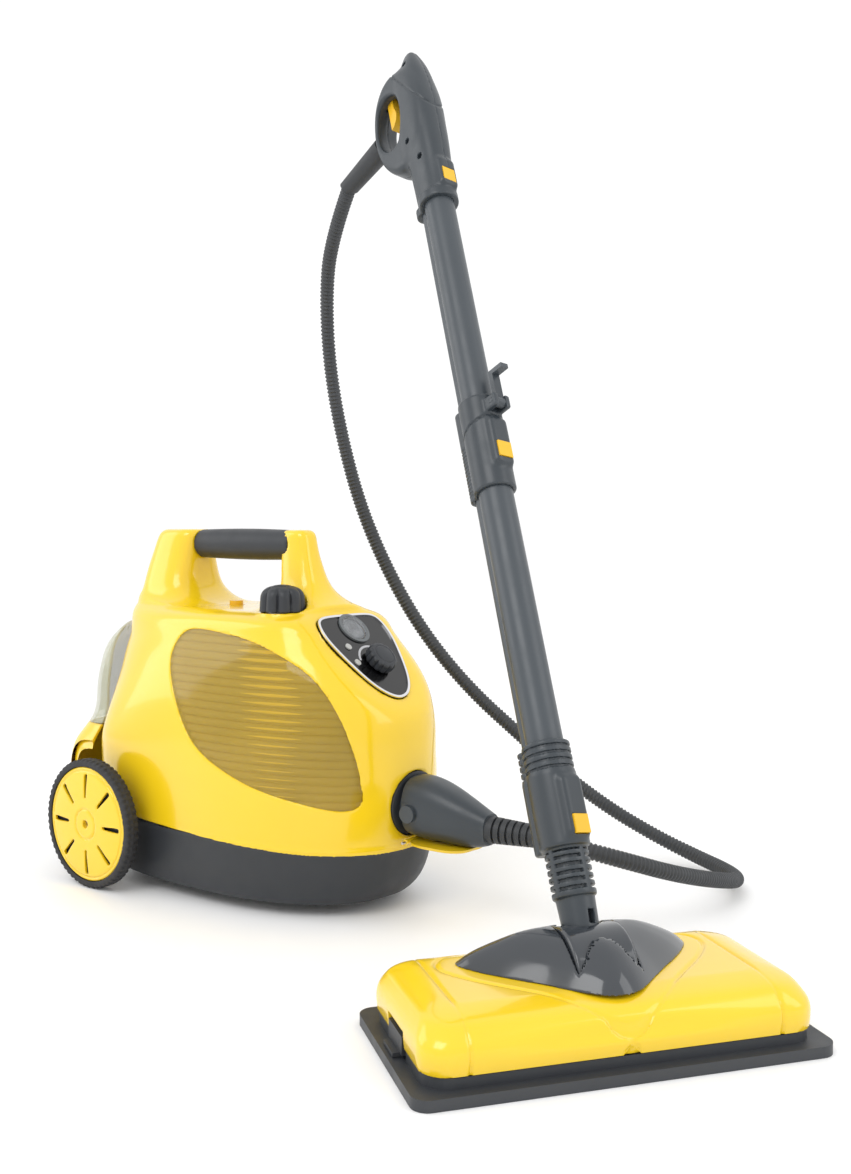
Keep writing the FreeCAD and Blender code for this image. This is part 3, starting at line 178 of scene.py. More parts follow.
def cell_points(values, low, step):
    """One point in each grid cell that the surface crosses, and the quads between them."""
    inside = values < 0
    shape = tuple(n - 1 for n in values.shape)
    total = np.zeros(shape + (3,), np.float32)
    count = np.zeros(shape, np.float32)
    crossings = []
    for axis in range(3):
        a = [slice(None)] * 3
        b = [slice(None)] * 3
        a[axis] = slice(0, -1)
        b[axis] = slice(1, None)
        first, second = values[tuple(a)], values[tuple(b)]
        crossed = inside[tuple(a)] != inside[tuple(b)]
        at = np.argwhere(crossed)
        f0, f1 = first[crossed], second[crossed]
        t = f0 / (f0 - f1)
        place_of = at.astype(np.float32)
        place_of[:, axis] += t
        crossings.append((axis, at, f0 < 0))
        others = [k for k in range(3) if k != axis]
        for d in (0, 1):
            for e in (0, 1):
                cell = at.copy()
                cell[:, others[0]] -= d
                cell[:, others[1]] -= e
                good = np.all((cell >= 0) & (cell < np.array(shape)), axis=1)
                flat = np.ravel_multi_index(cell[good].T, shape)
                np.add.at(count.reshape(-1), flat, 1)
                np.add.at(total.reshape(-1, 3), flat, place_of[good])
    used = count > 0
    index = -np.ones(shape, np.int64)
    index[used] = np.arange(int(used.sum()))
    points = total[used] / count[used][:, None] * step + np.array(low)
    faces = []
    for axis, at, leaving in crossings:
        others = [k for k in range(3) if k != axis]
        good = np.ones(len(at), bool)
        for k in others:
            good &= (at[:, k] >= 1) & (at[:, k] < shape[k])
        at, leaving = at[good], leaving[good]
        corners = []
        for d, e in ((1, 1), (0, 1), (0, 0), (1, 0)):
            cell = at.copy()
            cell[:, others[0]] -= d
            cell[:, others[1]] -= e
            corners.append(index[cell[:, 0], cell[:, 1], cell[:, 2]])
        quads = np.stack(corners, 1)
        flip = leaving if axis != 1 else ~leaving
        quads[~flip] = quads[~flip][:, ::-1]
        faces.append(quads)
    return points, np.concatenate(faces)


def gradient(field, points, h):
    g = np.empty_like(points)
    for axis in range(3):
        offset = np.zeros(3)
        offset[axis] = h
        g[:, axis] = (field(points + offset) - field(points - offset)) / (2 * h)
    return g


def field_shape(field, low, high, step, rounds=3):
    """Points and quads of the surface where field is 0, inside a box, drawn onto it."""
    counts = [int(math.ceil((b - a) / step)) + 1 for a, b in zip(low, high)]
    ys, zs = np.meshgrid(np.arange(counts[1]), np.arange(counts[2]), indexing="ij")
    plane = np.stack([np.zeros(ys.size), ys.ravel(), zs.ravel()], 1) * step + np.array(low)
    values = np.empty(counts, np.float32)
    for i in range(counts[0]):
        plane[:, 0] = low[0] + i * step
        values[i] = field(plane).reshape(counts[1], counts[2])
    points, faces = cell_points(values, low, step)
    for _ in range(rounds):
        f = field(points)
        g = gradient(field, points, 0.25)
        size = np.maximum((g * g).sum(1), 0.05)
        move = -(f / size)[:, None] * g
        length = np.linalg.norm(move, axis=1)
        limit = np.minimum(1.0, 0.6 * step / np.maximum(length, 1e-9))
        points = points + move * limit[:, None]
    return points, faces


def field_piece(name, field, low, high, step, to_machine, body, look, sharp=40):
    points, faces = field_shape(field, low, high, step)
    return new_piece(name, place(to_machine(points)), faces, body, look, sharp)


def rod_field(points, at, axis, radius, low, high, k=1.0):
    """Round bar along one of the axes 0, 1, 2 between low and high."""
    others = [n for n in range(3) if n != axis]
    r = np.hypot(points[:, others[0]] - at[others[0]], points[:, others[1]] - at[others[1]])
    along = points[:, axis]
    return smooth_max(r - radius, smooth_max(low - along, along - high, k), k)


def box_field(points, low, high, k=1.0):
    low, high = np.array(low, float), np.array(high, float)
    q = np.abs(points - (low + high) / 2) - (high - low) / 2
    return smooth_max(smooth_max(q[:, 0], q[:, 1], k), q[:, 2], k)


class Curves:
    """Smooth columns of numbers by height: a natural cubic spline through each column."""

    def __init__(self, rows):
        table = np.array(rows, float)
        z, values = table[:, 0], table[:, 1:]
        n = len(z)
        h = np.diff(z)
        left = np.eye(n)
        right = np.zeros((n, values.shape[1]))
        for i in range(1, n - 1):
            left[i, i - 1:i + 2] = h[i - 1], 2 * (h[i - 1] + h[i]), h[i]
            right[i] = 6 * ((values[i + 1] - values[i]) / h[i] - (values[i] - values[i - 1]) / h[i - 1])
        bend = np.linalg.solve(left, right)
        self.z = np.linspace(z[0], z[-1], 400)
        i = np.clip(np.searchsorted(z, self.z) - 1, 0, n - 2)
        a = (z[i + 1] - self.z)[:, None]
        b = (self.z - z[i])[:, None]
        step = h[i][:, None]
        self.columns = ((bend[i] * a ** 3 + bend[i + 1] * b ** 3) / (6 * step)
                        + (values[i] / step - bend[i] * step / 6) * a
                        + (values[i + 1] / step - bend[i + 1] * step / 6) * b)

    def __call__(self, z):
        return [np.interp(z, self.z, column) for column in self.columns.T]


def radial(dx, dy, share):
    """Distance outside a closed section, measured from its centre; share is 1 on the section."""
    r = np.hypot(dx, dy)
    return r - r / np.maximum(share, 1e-6)


class Outline:
    """Signed distance to a smooth closed outline in a plane, negative inside."""

    def __init__(self, corners, step=1.0, margin=30.0):
        p = np.array(corners, float)
        dense = []
        n = len(p)
        for i in range(n):
            p0, p1, p2, p3 = p[i - 1], p[i], p[(i + 1) % n], p[(i + 2) % n]
            for t in np.linspace(0, 1, 16, endpoint=False):
                dense.append(0.5 * (2 * p1 + (p2 - p0) * t + (2 * p0 - 5 * p1 + 4 * p2 - p3) * t ** 2
                                    + (3 * p1 - p0 - 3 * p2 + p3) * t ** 3))
        self.line = np.array(dense)
        self.low = self.line.min(0) - margin
        size = self.line.max(0) + margin - self.low
        self.step = step
        self.counts = (size / step).astype(int) + 2
        a, b = np.meshgrid(*[np.arange(c) * step for c in self.counts], indexing="ij")
        grid = np.stack([a.ravel(), b.ravel()], 1) + self.low
        best = np.full(len(grid), 1e9)
        wind = np.zeros(len(grid))
        for s, e in zip(self.line, np.roll(self.line, -1, 0)):
            d = e - s
            t = np.clip(((grid - s) @ d) / (d @ d), 0, 1)
            near = s + t[:, None] * d
            best = np.minimum(best, ((grid - near) ** 2).sum(1))
            above = (grid[:, 1] >= s[1]) != (grid[:, 1] >= e[1])
            cross = s[0] + (grid[:, 1] - s[1]) * d[0] / (d[1] if abs(d[1]) > 1e-9 else 1e-9)
            wind += above & (grid[:, 0] < cross)
        sign = np.where(wind % 2 == 1, -1.0, 1.0)
        self.values = (np.sqrt(best) * sign).reshape(self.counts)

    def __call__(self, a, b):
        u = np.clip((a - self.low[0]) / self.step, 0, self.counts[0] - 1.001)
        v = np.clip((b - self.low[1]) / self.step, 0, self.counts[1] - 1.001)
        i, j = u.astype(int), v.astype(int)
        fu, fv = u - i, v - j
        g = self.values
        return (g[i, j] * (1 - fu) * (1 - fv) + g[i + 1, j] * fu * (1 - fv) + g[i, j + 1] * (1 - fu) * fv
                + g[i + 1, j + 1] * fu * fv)


# ---------------------------------------------------------------- materials
def nodes_of(name):
    material = bpy.data.materials.new(name)
    material.use_nodes = True
    tree = material.node_tree
    return material, tree, tree.nodes["Principled BSDF"]


def link(tree, a, out, b, into):
    tree.links.new(a.outputs[out], b.inputs[into])


def noise(tree, coords, scale, detail):
    node = tree.nodes.new("ShaderNodeTexNoise")
    node.inputs["Scale"].default_value = scale
    node.inputs["Detail"].default_value = detail
    link(tree, coords, "Object", node, "Vector")
    return node


def spread(tree, node, low, high):
    """The node's value brought into a range."""
    ranged = tree.nodes.new("ShaderNodeMapRange")
    ranged.inputs["From Min"].default_value = 0.3
    ranged.inputs["From Max"].default_value = 0.7
    ranged.inputs["To Min"].default_value = low
    ranged.inputs["To Max"].default_value = high
    link(tree, node, "Fac", ranged, "Value")
    return ranged


def moulded(name, colour, rough=(0.35, 0.45), tint=0.08, grain=900.0, bump=0.05, metallic=0.0, coat=0.0,
            edge_highlight=0.0):
    """Moulded plastic, rubber or metal: slight colour drift, uneven gloss, a fine surface grain and, if
    asked, a painted highlight that lightens convex edges.
    """
    material, tree, shader = nodes_of(name)
    coords = tree.nodes.new("ShaderNodeTexCoord")
    drift = noise(tree, coords, 9.0, 4.0)
    ramp = tree.nodes.new("ShaderNodeValToRGB")
    ramp.color_ramp.elements[0].position = 0.3
    ramp.color_ramp.elements[1].position = 0.7
    ramp.color_ramp.elements[0].color = [c * (1 - tint) for c in colour] + [1]
    ramp.color_ramp.elements[1].color = [min(1, c * (1 + tint)) for c in colour] + [1]
    link(tree, drift, "Fac", ramp, "Fac")
    # painted highlight: convex edges, found by pointiness, are mixed towards a paler copy of the colour
    if edge_highlight:
        edges = tree.nodes.new("ShaderNodeNewGeometry")
        edge_highlight_mask = tree.nodes.new("ShaderNodeMapRange")
        edge_highlight_mask.inputs["From Min"].default_value = 0.52
        edge_highlight_mask.inputs["From Max"].default_value = 0.62
        edge_highlight_mask.inputs["To Max"].default_value = edge_highlight
        link(tree, edges, "Pointiness", edge_highlight_mask, "Value")
        highlight_mix = tree.nodes.new("ShaderNodeMix")
        highlight_mix.data_type = "RGBA"
        highlight_mix.inputs["B"].default_value = [min(1, c * 1.8 + 0.04) for c in colour] + [1]
        link(tree, edge_highlight_mask, "Result", highlight_mix, "Factor")
        link(tree, ramp, "Color", highlight_mix, "A")
        link(tree, highlight_mix, "Result", shader, "Base Color")
    else:
        link(tree, ramp, "Color", shader, "Base Color")
    gloss = noise(tree, coords, 60.0, 3.0)
    link(tree, spread(tree, gloss, *rough), "Result", shader, "Roughness")
    shader.inputs["Metallic"].default_value = metallic
    shader.inputs["Coat Weight"].default_value = coat
    shader.inputs["Coat Roughness"].default_value = 0.06
    if bump:
        fine = noise(tree, coords, grain, 2.0)
        lift = tree.nodes.new("ShaderNodeBump")
        lift.inputs["Strength"].default_value = bump
        lift.inputs["Distance"].default_value = 0.0004
        link(tree, fine, "Fac", lift, "Height")
        link(tree, lift, "Normal", shader, "Normal")
    return material


def clear(name, colour, rough, alpha, tint=0.1):
    """Thin tinted clear plastic: part of the light goes straight through."""
    material = moulded(name, colour, (rough, rough + 0.03), tint, 40.0, 0.01)
    shader = material.node_tree.nodes["Principled BSDF"]
    shader.inputs["Alpha"].default_value = alpha
    shader.inputs["IOR"].default_value = 1.49
    shader.inputs["Coat Weight"].default_value = 0.6
    return material


YELLOW = (0.84, 0.565, 0.01)
DARK = (0.022, 0.025, 0.03)
SLATE = (0.032, 0.04, 0.048)
M = {
    "yellow": moulded("yellow_gloss", YELLOW, (0.16, 0.22), 0.02, 700.0, 0.012, coat=0.5),
    "yellow_key": moulded("yellow_satin", (0.8, 0.46, 0.015), (0.3, 0.38), 0.04, 900.0, 0.05),
    "rib_yellow": moulded("yellow_ribs", (0.76, 0.47, 0.015), (0.3, 0.38), 0.05, 500.0, 0.03),
    # charcoal and slate get a painted highlight along their convex edges
    "base": moulded("charcoal_base", DARK, (0.42, 0.52), 0.1, 1500.0, 0.12, edge_highlight=0.25),
    "slate": moulded("slate_satin", SLATE, (0.3, 0.4), 0.08, 1300.0, 0.06, edge_highlight=0.3),
    "slate_gloss": moulded("slate_gloss", (0.03, 0.035, 0.042), (0.1, 0.16), 0.06, 300.0, 0.01, coat=0.5),
    "panel": moulded("panel_black", (0.003, 0.003, 0.0035), (0.12, 0.2), 0.1, 300.0, 0.01, coat=0.15),
    "chrome": moulded("chrome", (0.78, 0.78, 0.8), (0.05, 0.12), 0.03, 400.0, 0.01, metallic=1.0),
    "steel": moulded("steel", (0.55, 0.55, 0.56), (0.22, 0.34), 0.06, 500.0, 0.05, metallic=1.0),
    "alloy": moulded("boiler_alloy", (0.62, 0.62, 0.64), (0.35, 0.5), 0.08, 700.0, 0.2, metallic=1.0),
    "copper": moulded("copper", (0.72, 0.36, 0.2), (0.2, 0.3), 0.08, 500.0, 0.04, metallic=1.0),
    "blanket": moulded("insulation", (0.7, 0.69, 0.62), (0.85, 0.95), 0.14, 420.0, 0.8),
    "board": moulded("board_green", (0.02, 0.14, 0.06), (0.3, 0.4), 0.1, 600.0, 0.05),
    "tyre": moulded("tyre_rubber", (0.022, 0.022, 0.024), (0.6, 0.75), 0.12, 900.0, 0.25),
    "rubber": moulded("sleeve_rubber", (0.03, 0.033, 0.037), (0.45, 0.58), 0.1, 1100.0, 0.15),
    "hose": moulded("hose_rubber", (0.036, 0.039, 0.043), (0.42, 0.55), 0.1, 900.0, 0.12),
    "amber": clear("amber_window", (0.36, 0.27, 0.03), 0.06, 0.36),
    "smoke": clear("clear_cover", (0.52, 0.53, 0.36), 0.08, 0.42),
    "lens": clear("clear_lens", (0.75, 0.77, 0.8), 0.03, 0.16),
    "gauge": moulded("gauge_grey", (0.11, 0.12, 0.125), (0.25, 0.32), 0.08, 500.0, 0.04),
    "lamp": moulded("lamp_lens", (0.42, 0.42, 0.4), (0.12, 0.18), 0.08, 300.0, 0.01),
    "mark": moulded("scale_silver", (0.5, 0.5, 0.52), (0.3, 0.4), 0.05, 600.0, 0.02),
}
# each CAD node by its look
CAD_NODES = {
    "yellow": "upper_housing head_cover wheel_left wheel_right outlet_flap",
    "yellow_key": "power_button button_low button_middle button_top trigger",
    "rib_yellow": "rib_panel_left rib_panel_right",
    "base": "base_tub carry_grip outlet_socket storage_liner sole_plate head_skirt caster_fork "
            "caster_wheel filler_cap steam_knob cloth_clip_left cloth_clip_right",
    "slate": "hose_plug plug_latch neck_yoke wand_adapter lower_tube upper_tube wand_coupler "
             "grip_left grip_right hook_lever",
    "slate_gloss": "head_hub",
    "panel": "control_fascia",
    "chrome": "fascia_trim",
    "steel": "heating_element steam_valve rear_axle pivot_pins screws cap_plug",
    "alloy": "boiler_tank filler_neck",
    "copper": "steam_pipe",
    "blanket": "boiler_jacket",
    "board": "circuit_board",
    "tyre": "tyre_left tyre_right",
    "rubber": "cord_gland plug_strain_relief hose_tail",
    "hose": "steam_hose",
    "amber": "side_window_left side_window_right",
    "smoke": "rear_cover",
    "lens": "gauge_lens",
    "gauge": "gauge_body",
    "lamp": "indicator_lamps",
}
CAD_LOOK = {node: look for look, nodes in CAD_NODES.items() for node in nodes.split()}


def dress_cad():
    """Better materials and smooth shading for the CAD nodes that stay."""
    for name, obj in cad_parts.items():
        for slot in obj.material_slots:
            slot.material = M[CAD_LOOK[name]]
        obj.data.shade_smooth()
        obj.data.set_sharp_from_angle(angle=math.radians(30))
        soften = obj.modifiers.new("edge", "BEVEL")
        soften.width = 0.0006
        soften.segments = 2
        soften.limit_method = "ANGLE"
        soften.angle_limit = math.radians(35)
        soften.use_clamp_overlap = True


# ---------------------------------------------------------------- steam hose
HOSE_D = 0.015
HOSE_ROUTE = (
    (438, 8, 91), (475, 25, 82), (503, 56, 69), (520, 98, 53),
    (529, 150, 37), (531, 200, 24), (521, 245, 13), (493, 281, 9),
    (451, 300, 12), (405, 297, 27), (358, 276, 55), (318, 243, 94),
    (279, 219, 135), (228, 198, 182), (180, 180, 240), (140, 168, 305),
    (106, 160, 377), (86, 151, 454), (78, 139, 533), (89, 121, 605),
    (120, 94, 660), (168, 70, 704),
)


def hose_line():
    """The route's smooth line, read from a NURBS spline with the route's points as its controls."""
    curve = bpy.data.curves.new("hose_route", "CURVE")
    curve.dimensions = "3D"
    spline = curve.splines.new("NURBS")
    spline.points.add(len(HOSE_ROUTE) - 1)
    for point, at in zip(spline.points, place(HOSE_ROUTE)):
        point.co = (*at, 1.0)
    spline.order_u = 3
    spline.use_endpoint_u = True
    spline.resolution_u = 24
    holder = bpy.data.objects.new("hose_route", curve)
    bpy.context.scene.collection.objects.link(holder)
    bpy.context.view_layer.update()
    mesh = bpy.data.meshes.new_from_object(holder)
    line = np.array([v.co for v in mesh.vertices])
    bpy.data.objects.remove(holder)
    bpy.data.meshes.remove(mesh)
    return line


def even(line, step):
    """The line's points spaced evenly, and its length."""
    s = np.concatenate([[0], np.cumsum(np.linalg.norm(np.diff(line, axis=0), axis=1))])
    at = np.linspace(0, s[-1], int(round(s[-1] / step)) + 1)
    return np.stack([np.interp(at, s, line[:, k]) for k in range(3)], 1), s[-1]


def tube_along(line, radii, count):
    """Tube through the line's points with a radius at each, turned as little as possible."""
    tangents = np.gradient(line, axis=0)
    tangents /= np.linalg.norm(tangents, axis=1)[:, None]
    side = np.cross(tangents[0], [0, 0, 1.0])
    side /= np.linalg.norm(side)
    points = []
    for at, t, radius in zip(line, tangents, radii):
        side = side - t * (side @ t)
        side /= np.linalg.norm(side)
        up = np.cross(t, side)
        for k in range(count):
            angle = 2 * math.pi * k / count
            points.append(at + radius * (side * math.cos(angle) + up * math.sin(angle)))
    faces = grid_faces(len(line), count, True)
    faces.append(tuple(reversed(range(count))))
    faces.append(tuple(range((len(line) - 1) * count, len(line) * count)))
    return np.array(points), faces


HOSE_PITCH = 0.0042        # from one corrugation to the next
HOSE_STEPS = 7             # rings of points in each corrugation
HOSE_GROOVE = 0.0011


def make_hose():
    route = hose_line()
    line, length = even(route, HOSE_PITCH / HOSE_STEPS)
    phase = np.arange(len(line)) * 2 * math.pi / HOSE_STEPS
    crest = np.clip(0.5 + 0.75 * np.cos(phase), 0, 1)
    radii = HOSE_D / 2 - HOSE_GROOVE * (1 - crest)
    points, faces = tube_along(line, radii, 20)
    hose = new_piece("steam_hose_ribbed", points, faces, None, "hose")
    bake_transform(hose)
    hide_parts("steam_hose")


# ---------------------------------------------------------------- studio
LIT_POINT = (0.0, 0.0, 0.3)
FLOOR_WIDTH = 120.0
FLOOR_DROP = 0.0002        # keeps the floor clear of the soles that stand on it
WORLD_LIGHT = 1.06


def area_light(name, at, size, power):
    data = bpy.data.lights.new(name, "AREA")
    data.shape = "RECTANGLE"
    data.size, data.size_y = size
    data.energy = power
    lamp = bpy.data.objects.new(name, data)
    bpy.context.scene.collection.objects.link(lamp)
    lamp.location = at
    lamp.rotation_mode = "QUATERNION"
    lamp.rotation_quaternion = (Vector(LIT_POINT) - Vector(at)).to_track_quat("-Z", "Y")


def make_studio():
    mesh = bpy.data.meshes.new("floor")
    cells = 4
    points = [((i / cells - 0.5) * FLOOR_WIDTH, (j / cells - 0.5) * FLOOR_WIDTH, -FLOOR_DROP)
              for i in range(cells + 1) for j in range(cells + 1)]
    mesh.from_pydata(points, [], grid_faces(cells + 1, cells + 1, False))
    floor = bpy.data.objects.new("floor", mesh)
    bpy.context.scene.collection.objects.link(floor)
    mesh.materials.append(moulded("pale_floor", (0.96, 0.96, 0.96), (0.5, 0.6), 0.01, 50.0, 0.0))
    if mesh.polygons[0].normal.z < 0:
        mesh.flip_normals()
    world = bpy.data.worlds.new("studio")
    world.use_nodes = True
    world.node_tree.nodes["Background"].inputs["Color"].default_value = (1, 1, 1, 1)
    world.node_tree.nodes["Background"].inputs["Strength"].default_value = WORLD_LIGHT
    bpy.context.scene.world = world
    area_light("key", (0.2, -2.2, 2.4), (1.6, 1.6), 26)
    area_light("left", (-2.3, -1.2, 1.3), (1.2, 1.8), 10)
    area_light("right", (2.2, 0.6, 1.5), (1.2, 1.8), 10)
    bpy.context.scene.view_settings.view_transform = "Standard"


# ---------------------------------------------------------------- yellow housing
SEAM_BACK = 72.0
SEAM_DROP = 0.04
LAP = 0.9                  # how far the housing's skirt stands outside the tub
TUB_TOP = 67.6             # where the tub's rim takes over from the tub
HOUSING_WALL = 8.0
DECK_Z = 279.0
WINDOW_POCKET = 9.0        # depth of the pocket behind the window
PANEL_RECESS = 2.6
PANEL_FLOOR = 9.0          # thickness left under the panel plane
POST_CUT = 52.0            # the panel's slope starts this far above its axes' origin
BAY_LOW = (-80, -46.5, 91.5)
BAY_HIGH = (-14, 46.5, 224.5)
BUTTON_X = 72.0
BUTTON_R = 7.6
GAUGE_R = 12.4
GAUGE_DEPTH = 16.0
AXLE_BORE = 6.0
POST_FOOT = 262.0          # the handle's posts start here
NOSE_R = 30.4              # bore for the outlet socket
SPIGOT_BORE = 12.0
CAP_AT = (182.0, -45.0)
CAP_SEAT_R = 23.0
CAP_ROOM_R = 23.6          # room for the filler cap above its seat
CAP_HOLE_R = 16.0
CAP_HOLE_DEPTH = 14.0
PLUG_Z = 104.0
GRIP_Z = 342.0
# by height: rear x, half width at the rear, x of the widest place, half width there, front x and the
# squareness of the front
HULL = Curves((
    (12, -42, 88, 100, 101, 280, 2.3),
    (18, -46, 92, 102, 104.5, 287, 2.3),
    (40, -49, 96, 106, 107.5, 299, 2.35),
    (68, -51, 98, 110, 108, 306, 2.4),
    (84, -53, 99.5, 110, 108, 307.5, 2.4),
    (100, -55, 101, 110, 108, 308.5, 2.4),
    (115, -56, 103, 110, 108, 309, 2.4),
    (130, -56, 104, 110, 108, 309, 2.4),
    (144, -55, 104, 110, 107.5, 308.5, 2.4),
    (162, -53, 98, 110, 106, 307, 2.5),
    (186, -51, 86, 110, 103, 303, 2.6),
    (212, -50, 73, 112, 98, 289, 2.9),
    (238, -50, 62, 115, 90, 261, 3.6),
    (260, -49, 53, 118, 80, 238, 4.5),
    (274, -48, 48, 120, 71, 223, 5),
    (DECK_Z, -46, 42, 122, 62, 214, 5),
))
WINDOW = Outline(((73, 236), (87, 259), (142, 258), (196, 248), (246, 224), (276, 184), (289, 132),
                  (284, 105), (238, 111), (180, 126), (124, 153), (90, 196)))
# by height: inner x, outer x, half width
REAR_POST = Curves(((262, 66, -48.5, 50), (280, 46, -48, 44), (297, 29, -46, 38), (318, 24, -43, 31),
                    (338, 24, -37, 26), (352, 25, -31, 23), (358, 24, -27, 21)))
FRONT_POST = Curves(((262, 120, 236, 60), (280, 140, 216, 40), (297, 147, 198, 24), (318, 146, 187, 17),
                     (338, 145, 181, 14), (352, 145, 178, 13), (358, 146, 176, 12.5)))
HANDLE_TOP = 357.0
PANEL_TOP = -44.0
GAUGE_PLACE = PANEL_TOP + 17.5
PANEL = Outline([(PANEL_TOP + s, y) for s, y in
                 ((103, 0), (100, 11), (88, 24), (64, 36), (39, 44), (17, 46), (5, 41), (0.4, 26), (0, 0),
                  (0.4, -26), (5, -41), (17, -46), (39, -44), (64, -36), (88, -24), (100, -11))])


def hull_field(p):
    """The machine's outer skin at every height of the tub and the housing."""
    x, y, z = p[:, 0], np.abs(p[:, 1]), p[:, 2]
    x_rear, w_rear, x_mid, w_mid, x_front, power = HULL(z)
    ahead = x >= x_mid
    u = np.clip((x - x_mid) / (x_front - x_mid), 0, None)
    t = np.clip((x_mid - x) / (x_mid - x_rear), 0, None)
    width = w_mid + (w_rear - w_mid) * np.minimum(t, 1) ** 2
    side = y / w_mid
    front_share = (u ** power + side ** power) ** (1 / power)
    rear_share = (t ** 5 + (y / width) ** 5) ** 0.2
    share = np.where(ahead, front_share, rear_share)
    return radial(x - x_mid, y, share)


def shell_field(p):
    """The housing's skin, before the handle, the panel and the openings."""
    return smooth_max(hull_field(p), p[:, 2] - DECK_Z, 9.0)


def seam_height(x):
    """The housing's lower edge, which drops towards the nose."""
    return SEAM_BACK - SEAM_DROP * x


def post_field(p, rows):
    """One post of the carry handle, rounded off at the top."""
    x, y, z = p[:, 0], np.abs(p[:, 1]), p[:, 2]
    inner, outer, width = rows(z)
    middle = (inner + outer) / 2
    half = np.abs(outer - inner) / 2
    dx = np.abs(x - middle)
    share = ((dx / half) ** 3 + (y / width) ** 3) ** (1 / 3)
    return smooth_max(smooth_max(radial(dx, y, share), z - HANDLE_TOP, 7.0), POST_FOOT - z, 2.0)


def panel_height(p):
    """Distance outside the sloping panel plane, and the place down its slope."""
    s = p[:, 0] * math.cos(PANEL_SLOPE) - p[:, 2] * math.sin(PANEL_SLOPE)
    h = p[:, 0] * math.sin(PANEL_SLOPE) + p[:, 2] * math.cos(PANEL_SLOPE)
    return h - PANEL_H, s


def skin_field(p):
    """The housing's outer surface with its handle posts, without openings."""
    f = shell_field(p)
    f = smooth_min(f, post_field(p, REAR_POST), 20.0)
    f = smooth_min(f, post_field(p, FRONT_POST), 18.0)
    height, s = panel_height(p)
    f = smooth_max(f, smooth_min(height, s + POST_CUT, 4.0), 5.0)
    return f


def housing_field(p):
    """The yellow housing with its cavity, pockets, rear bay, filler seat and bores."""
    x, y, z = p.T
    skin = skin_field(p)
    lapped = skin - LAP * np.clip((TUB_TOP + 1.5 - z) / 3.0, 0, 1)
    f = smooth_max(lapped, seam_height(x) - z, 1.2)
    pocket = np.maximum(np.maximum(WINDOW(x, z), -(skin + WINDOW_POCKET)), 34 - np.abs(y))
    height, s = panel_height(p)
    cavity = np.maximum(shell_field(p) + HOUSING_WALL, z - DECK_Z + HOUSING_WALL)
    cavity = np.maximum(cavity, height + PANEL_FLOOR)
    f = smooth_max(smooth_max(f, -cavity, 0.8), -pocket, 1.6)
    recess = np.maximum(PANEL(s, y) - 0.4, -(height + PANEL_RECESS))
    f = smooth_max(f, -recess, 0.8)
    gauge = np.maximum(np.hypot(s - GAUGE_PLACE, y) - GAUGE_R, -(height + GAUGE_DEPTH))
    f = np.maximum(f, -gauge)
    bay = box_field(p, BAY_LOW, BAY_HIGH, 4.0)
    f = smooth_max(f, -bay, 2.0)
    cap = rod_field(p, CAP_AT, 2, CAP_ROOM_R, DECK_Z + 0.2, DECK_Z + 60)
    seat = rod_field(p, CAP_AT, 2, CAP_SEAT_R, DECK_Z - CAP_HOLE_DEPTH, DECK_Z + 0.2, 1.5)
    f = smooth_max(smooth_min(f, seat, 5.0), -cap, 1.5)
    f = np.maximum(f, -rod_field(p, CAP_AT, 2, CAP_HOLE_R, DECK_Z - CAP_HOLE_DEPTH, DECK_Z + 5))
    f = smooth_max(f, -rod_field(p, (BUTTON_X, 0), 2, BUTTON_R, DECK_Z - 10, DECK_Z + 5), 0.8)
    nose = rod_field(p, (0, 0, PLUG_Z), 0, NOSE_R, 268, 330)
    f = smooth_max(f, -nose, 2.0)
    f = np.maximum(f, -rod_field(p, (0, 0, WHEEL_R), 1, AXLE_BORE, -130, 130))
    f = smooth_max(f, -(handle_grip_field(p) - 0.35), 0.6)
    return np.maximum(f, -rod_field(p, (0, 0, GRIP_Z), 0, SPIGOT_BORE, -6, 166))


HOUSING_GRID = cell_size(1.7)


def make_housing():
    shell = field_piece("housing_shell", housing_field, (-62, -116, 62), (316, 116, 362),
                        HOUSING_GRID, as_is, "machine", "yellow", sharp=38)
    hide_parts("upper_housing")


def side_at(x, z, inset):
    """Half width of the skin at x and z, drawn in by inset: solved along y."""
    y = np.full(x.shape, 90.0)
    for _ in range(12):
        p = np.stack([x, y, z], 1)
        f = skin_field(p) + inset
        slope = (skin_field(p + [0, 0.3, 0]) - skin_field(p - [0, 0.3, 0])) / 0.6
        y = np.clip(y - f / np.maximum(slope, 0.25), 20, 125)
    return y


WINDOW_MIDDLE = np.array([190.0, 185.0])
GLASS_INSETS = (1.0, 2.6)  # its outer and inner faces below the housing's skin
RIB_PITCH = 7.6
RIB_HEIGHT = 3.8
RIB_FLOOR = 8.4            # depth of the valleys between ribs


def make_windows():
    """Amber glass in each side, over a ribbed yellow panel."""
    rim = WINDOW.line[::2]
    rings = np.linspace(0.0, 1.0, 26)[1:]
    flat = [WINDOW_MIDDLE[None]] + [WINDOW_MIDDLE + (rim - WINDOW_MIDDLE) * r for r in rings]
    count = len(rim)
    xz = np.concatenate(flat)
    for side, name in ((1, "left"), (-1, "right")):
        glass = []
        for inset in GLASS_INSETS:
            y = side_at(xz[:, 0], xz[:, 1], inset)
            glass.append(np.stack([xz[:, 0], side * y, xz[:, 1]], 1))
        n = len(xz)
        faces = [(0, 1 + k, 1 + (k + 1) % count) for k in range(count)]
        for r in range(len(rings) - 1):
            for k in range(count):
                a = 1 + r * count + k
                b = 1 + r * count + (k + 1) % count
                faces.append((a, a + count, b + count, b))
        back = [tuple(i + n for i in reversed(f)) for f in faces]
        last = 1 + (len(rings) - 1) * count
        edge = [(last + (k + 1) % count, last + k, last + k + n, last + (k + 1) % count + n)
                for k in range(count)]
        every = faces + back + edge
        if side > 0:
            every = [tuple(reversed(f)) for f in every]
        pane = new_piece("window_glass_" + name, place(np.concatenate(glass)), every,
                         "machine", "amber", sharp=50)
        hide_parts("side_window_" + name)
        make_ribs(side, name)


